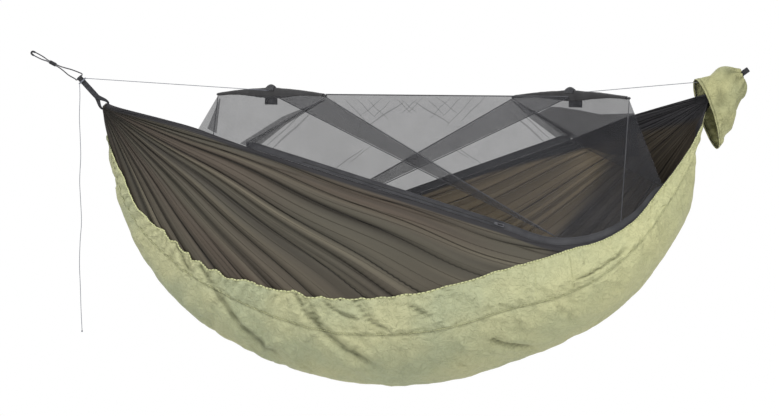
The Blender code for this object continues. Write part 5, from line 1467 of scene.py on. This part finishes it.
def net_side(side, place, first, second):
    """One side of the net. first and second are the rod halves over its zip end and its
    other end, from the rod's middle to its tip."""
    overrun = HEM_OVERRUN / EDGE_LENGTH
    band_rows = row_of(SHORT_SEAM_SHARE) - overrun, row_of(NET_END_SHARE) + overrun

    def band_share(rows):
        """The hem band's height is a little less at its zip end and runs out towards the
        other, by smooth steps."""
        from_zip, to_end = (rows - band_rows[0]) * EDGE_LENGTH, (band_rows[1] - rows) * EDGE_LENGTH
        return np.minimum(0.7 + 0.3 * step(0.0, 0.05, from_zip),
                          0.2 + 0.8 * step(0.0, 0.085, to_end))

    def hem_at(start, end, count):
        rows = np.linspace(row_of(start), row_of(end), count)
        return place(hem_line(rows, HEM_HEIGHT * band_share(rows)))

    corner = hem_at(CORNER_SHARE, CORNER_SHARE, 1)[0]
    zip_foot = hem_at(SHORT_SEAM_SHARE, CORNER_SHARE, 60)
    main_foot = hem_at(CORNER_SHARE, UPRIGHT_SEAM_SHARE, 60)
    end_foot = hem_at(UPRIGHT_SEAM_SHARE, NET_END_SHARE, 30)
    tip, middle, other_tip = first[-1], first[0], second[-1]
    main_top = np.concatenate([evenly(np.stack([middle, second[0]]), 40), second[1:]])
    zip_node, main_node = side + "_net_zip_panel", side + "_net_main_panel"
    main = net_panel(side + "_main_net", main_node, main_top, main_foot, 84, 54)
    net_panel(side + "_gusset_net", side + "_net_gusset", first, corner[None], 30, 50)
    door = net_panel(side + "_door_net", zip_node, tip[None], zip_foot, 80, 40)
    net_panel(side + "_corner_net", side + "_net_corner", other_tip[None], end_foot, 24, 40)
    for label, node, panel in (("door", zip_node, door), ("main", main_node, main)):
        for k, (start, end, width) in enumerate(PLEATS[label]):
            pleat(f"{side}_{label}_pleat_{k + 1}", node, panel,
                  *side_places(side, start, end), width)
    upper = side_places(side, (1.060, -0.166), (0.930, -0.236), (0.772, -0.336))
    lower = side_places(side, (1.046, -0.196), (0.945, -0.264), (0.826, -0.358))
    upper[0] = lower[0] = tuple(tip[[0, 2]] + (corner[[0, 2]] - tip[[0, 2]]) * 0.01)
    piece = doubled_net(side + "_doubled_strip", side + "_net_strip", door, upper, lower)
    for label, start, end in (
            ("gusset_outer", tip, corner), ("gusset_inner", middle, corner),
            ("short", tip, zip_foot[0]), ("upright", other_tip, end_foot[0])):
        seam_tape(f"{side}_{label}_tape", f"{side}_{label}_seam", start, end)

    rows = np.linspace(*band_rows, 260)
    heights = np.linspace(HEM_SEAT * 0.4, HEM_HEIGHT, 13)
    band = np.stack([place(hem_line(rows, height * band_share(rows)))
                     for height in heights], axis=1)
    out = grid_normals(band)
    out = out * np.sign(out[130, 6, 1] * (-1 if side == "near" else 1))
    share = np.linspace(0, 1, 13)[None] + 0 * rows[:, None]
    half = HEM_WALL / 2 * (1 + 0.9 * bell(np.minimum(share, 1 - share), 0.09))[..., None]
    piece = walled(side + "_hem_tape", band - out * half, band + out * half,
                   {"stitch": bell(np.abs(share - 0.5) - 0.34, 0.05)})
    dress(piece, "hem", "hammock", side + "_hem_band")
    return zip_foot[0], end_foot[-1]


def net():
    """The net hangs from the foot of both rod sleeves and from the ridge tape."""
    down = stacked(0, 0, sleeve_height(np.linspace(0, 1, 61)) - 0.0008)
    left, right = rod_path(LEFT_ROD, 61) - down, rod_path(RIGHT_ROD, 61) - down
    near_zip, near_end = net_side("near", world, left[30::-1], right[30::-1])
    far_zip, far_end = net_side("far", turned_world, right[30:], left[30:])
    down_zip, down_end = (np.array([0.0, 0.0, share * HEM_HEIGHT]) for share in (0.85, 0.40))
    left_foot = np.stack([near_zip - down_zip, far_end - down_end])
    right_foot = np.stack([near_end - down_end, far_zip - down_zip])
    left_end = net_panel("left_end_net", "left_net_end", left, left_foot, 60, 30)
    right_end = net_panel("right_end_net", "right_net_end", right, right_foot, 60, 30, "end_net")
    doubled_net("left_end_wedge", "left_net_end", left_end,
                ((0.684, -0.170), (0.688, -0.172)), ((0.640, -0.283), (0.677, -0.300)))
    doubled_net("right_end_layers", "right_net_end", right_end,
                ((1.892, -0.222), (1.930, -0.200), (1.970, -0.202),
                 (2.035, -0.212), (2.109, -0.226), (2.226, -0.220)),
                ((1.878, -0.228), (1.930, -0.262), (1.985, -0.300),
                 (2.050, -0.345), (2.140, -0.375), (2.250, -0.380)), "layers")
    line = evenly(np.stack([left[30], right[30]]), 80)
    dress(tube("ridge_tape_strip", line, RIDGE_TAPE_RADIUS, 10, flatten=0.5),
          "seam", "hammock", "net_ridge_tape")


net()


# Rod sleeves, hanger loops and tabs

def frame_of(path):
    """Level side and upward directions along a path."""
    heading = tangents(path)
    side = unit(np.cross(heading, [0.0, 0.0, 1.0]))
    return side, unit(np.cross(side, heading))


def rod_sleeve(side, middle):
    """Sleeve: deepest at the rod's middle as a sine squared, creased along and across."""
    path = rod_path(middle)
    cover = trimmed(path, CAP_LENGTH, CAP_LENGTH, 200)
    share = np.linspace(0, 1, 200)
    level, up = frame_of(cover)
    outer = rings(cover, level, up, SLEEVE_HALF_WIDTH, sleeve_height(share), 36)
    away = outer - cover[:, None]
    mid = arch(share)[:, None] ** 2
    away[..., 2] *= np.where(away[..., 2] < 0, 1 + 1.2 * mid,
                             1 - 0.25 * mid + 0.25 * bell(share - 0.5, 0.07)[:, None])
    creases = 1 + 0.05 * ripple(outer, 0.05, 61) + 0.03 * ripple(outer, 0.016, 62)
    outer = cover[:, None] + away * creases[..., None]
    inner = rings(cover, level, up, SLEEVE_BORE, SLEEVE_BORE, 36)
    dress(hollow(side + "_sleeve_fabric", outer, inner), "sleeve", "hammock", side + "_rod_sleeve")

    trim = (lengths(path)[-1] - LOOP_LENGTH) / 2
    saddle = trimmed(path, trim, trim, 40)[:, None]
    level, up = (way[:, None] for way in frame_of(saddle[:, 0]))
    hump = LOOP_HUMP * arch(np.linspace(0, 1, 40)) ** 0.8
    angle = np.linspace(0, math.pi, 33)[None, :, None]
    wide, tall = SLEEVE_HALF_WIDTH + GAP, (SLEEVE_MID_HEIGHT + GAP + hump)[:, None, None]
    skins = [saddle + level * (wide + wall) * np.cos(angle) + up * (tall + wall) * np.sin(angle)
             for wall in (0.0, LOOP_WALL)]
    dress(walled(side + "_hanger_webbing", *skins), "webbing", "hammock", side + "_hanger_loop")


def hanger_tab(side, middle, shift):
    """Square patch below the rod's middle, a little bowed, with a box of stitches."""
    path = rod_path(middle)
    trim = (lengths(path)[-1] - TAB_WIDTH * ROD_LENGTH / ROD_RUN) / 2
    top = trimmed(path, trim - shift, trim + shift, 41)
    top[:, 2] -= SLEEVE_MID_HEIGHT + SEAT + TAPE_RADIUS + TAB_DROP
    share, run = np.linspace(0, 1, 31)[None, :], np.linspace(0, 1, 41)[:, None]
    grid = top[:, None] - share[..., None] * np.array([0.0, 0.0, TAB_HEIGHT])
    side_way = frame_of(top)[0][:, None]
    grid = grid + side_way * (TAB_BOW * arch(share) * arch(run))[..., None]
    border = np.minimum(np.minimum(share, 1 - share) * TAB_HEIGHT,
                        np.minimum(run, 1 - run) * TAB_WIDTH)
    out = side_way * (TAB_WALL / 2 * (1 - 0.5 * bell(border, 0.002)))[..., None]
    dress(walled(side + "_tab_patch", grid - out, grid + out,
                 {"stitch": bell(border - TAB_STITCH_IN, 0.0009)}),
          "patch", "hammock", side + "_hanger_tab")


for side, middle, shift in (("left", LEFT_ROD, 0.0), ("right", RIGHT_ROD, RIGHT_TAB_SHIFT)):
    rod_sleeve(side, middle)
    hanger_tab(side, middle, shift)


# Entry zip

def zip_teeth():
    """Coil of the zip: short round bars across the band, a tooth a station, whose height
    follows the root of a sine along the zip."""
    along = EDGE_AT_ROWS[:, 0] / CLOTH_LENGTH
    rows = ROW_SHARES[(along > ZIP_START_SHARE) & (along < ZIP_END_SHARE)]
    low_end, high_end = world(hem_line(rows[[0, -1]], HEM_HEIGHT / 2))[::-1]
    heading = unit(high_end - low_end)
    out = unit(np.cross([0.0, 0.0, 1.0], heading))
    out = out if out[1] < 0 else -out
    up = np.cross(heading, out)
    up = up if up[2] > 0 else -up
    length = float(np.linalg.norm(high_end - low_end))
    run = np.linspace(0, length, ZIP_TEETH * 4 + 1)
    wave = np.abs(np.sin(run * math.pi * ZIP_TEETH / length)) ** 0.5
    middle = low_end + run[:, None] * heading + out * (HEM_WALL / 2 + GAP + ZIP_TEETH_DEPTH / 2)
    skin = rings(middle, up, out, ZIP_TEETH_HEIGHT / 2 * (0.72 + 0.28 * wave),
                 ZIP_TEETH_DEPTH / 2 * (0.60 + 0.40 * wave), 12)
    piece = grid_mesh("zip_coil_teeth", pointed(middle, skin), closed_columns=True)
    dress(faced(piece), "coil", "hammock", "entry_zip_teeth")


zip_teeth()


# Stuff sack

def ring_normals(grid):
    """Normals of a grid whose rows are closed rings."""
    around = np.roll(grid, -1, axis=1) - np.roll(grid, 1, axis=1)
    return unit(np.cross(around, np.gradient(grid, axis=0)))


def sack():
    """Sack: closed sections lofted through the solids' ones, drawn in to the webbing,
    puckered by a cloth that is a little too large, with long creases from its neck."""
    rows, columns = 84, 132
    tip = np.array([RIGHT_TIP[0], 0.0, RIGHT_TIP[1]])
    table = smooth(SACK_SECTION_SHARES, 14)
    lean = smooth(np.array(SACK_LEAN_SHARES)[:, None], 14)[:, 0] * SACK_LEAN
    run = lengths(table[:, :4])
    places = np.linspace(0, run[-1], rows)
    top_x, top_z, foot_x, foot_z, deep, lean = (
        np.interp(places, run, values) for values in (*table.T, lean))
    top, foot = (tip + stacked(x, 0, z) * SACK_HEIGHT
                 for x, z in ((top_x, top_z), (foot_x, foot_z)))
    angle = turns(columns)
    grid = ((top + foot)[:, None] / 2
            + np.cos(angle)[None, :, None] * (top - foot)[:, None] / 2)
    grid[..., 1] += np.sin(angle) * (deep * SACK_HALF_DEPTH)[:, None]
    grid[..., 0] -= np.sin(angle) * lean[:, None]
    share = (places / places[-1])[:, None]
    out = ring_normals(grid)
    from_middle = grid[20] - grid[20].mean(axis=0)
    out = out * np.sign(np.sum(out[20] * from_middle, axis=-1).mean())
    neck = step(0.35, 0.95, share) * (1 - step(0.93, 1.0, share))
    pleats = np.sin(angle[None] * 11 + 3.0 * ripple(grid, 0.12, 91)) * neck * SACK_PLEAT
    mouth = (np.sin(angle[None] * 17 + 2.0 * ripple(grid, 0.08, 92))
             * np.exp(-share / 0.06) * SACK_MOUTH_PUCKER)
    slack = (SACK_SLACK * ripple(grid, 0.09, 93) * step(0.0, 0.15, share)
             * (1 - step(0.75, 0.98, share)))
    height = pleats + mouth + slack
    grid = grid + out * height[..., None]
    pinned = np.zeros(grid.shape[:2])
    pinned[[0, 1, -1, -2]] = 1.0
    pinned[-8:-2] = 0.4
    grid = crumpled("sack_settling", grid, pinned, 0.05, 0.35, 0.009, closed_columns=True)
    normal = ring_normals(grid)
    normal = normal * np.sign(np.sum(normal * out, axis=-1)).mean().round()
    wall = SACK_WALL * 0.5
    # Painted shade in the hollows of the pleats, puckers and slack, and in a band near the mouth
    # for the shade of its opening
    crease_shade = np.clip(-height / 0.004, 0, 1) * 0.5 + 0.7 * bell(share - 0.045, 0.012)
    piece = grid_mesh("stuff_sack_bag", np.concatenate([grid, (grid - normal * wall)[::-1]]),
                      True, True, shades={"crease_shade": np.concatenate([crease_shade, crease_shade[::-1]])},
                      scale=(SACK_RUN / rows, SACK_GIRTH / columns))
    dress(faced(piece), "sack", "sack", "stuff_sack")
    lip = grid[2] - normal[2] * (SACK_CORD_RADIUS + SEAT + wall)
    lip = evenly(np.vstack([lip, lip[:1]]), 261)[:-1]
    dress(faced(tube("sack_drawcord_braid", lip, SACK_CORD_RADIUS, 10, closed=True)),
          "drawcord", "sack", "sack_drawcord")


sack()


# Solids that stay as they are

for name, finish in (
        ("left_spreader_rod", "rod"), ("right_spreader_rod", "rod"),
        ("left_near_rod_cap", "cap"), ("left_far_rod_cap", "cap"),
        ("right_near_rod_cap", "cap"), ("right_far_rod_cap", "cap"),
        ("zip_slider", "slider"), ("zip_pull", "pull")):
    node = bpy.data.objects[name]
    node.data.materials.clear()
    node.data.materials.append(FINISHES[finish])
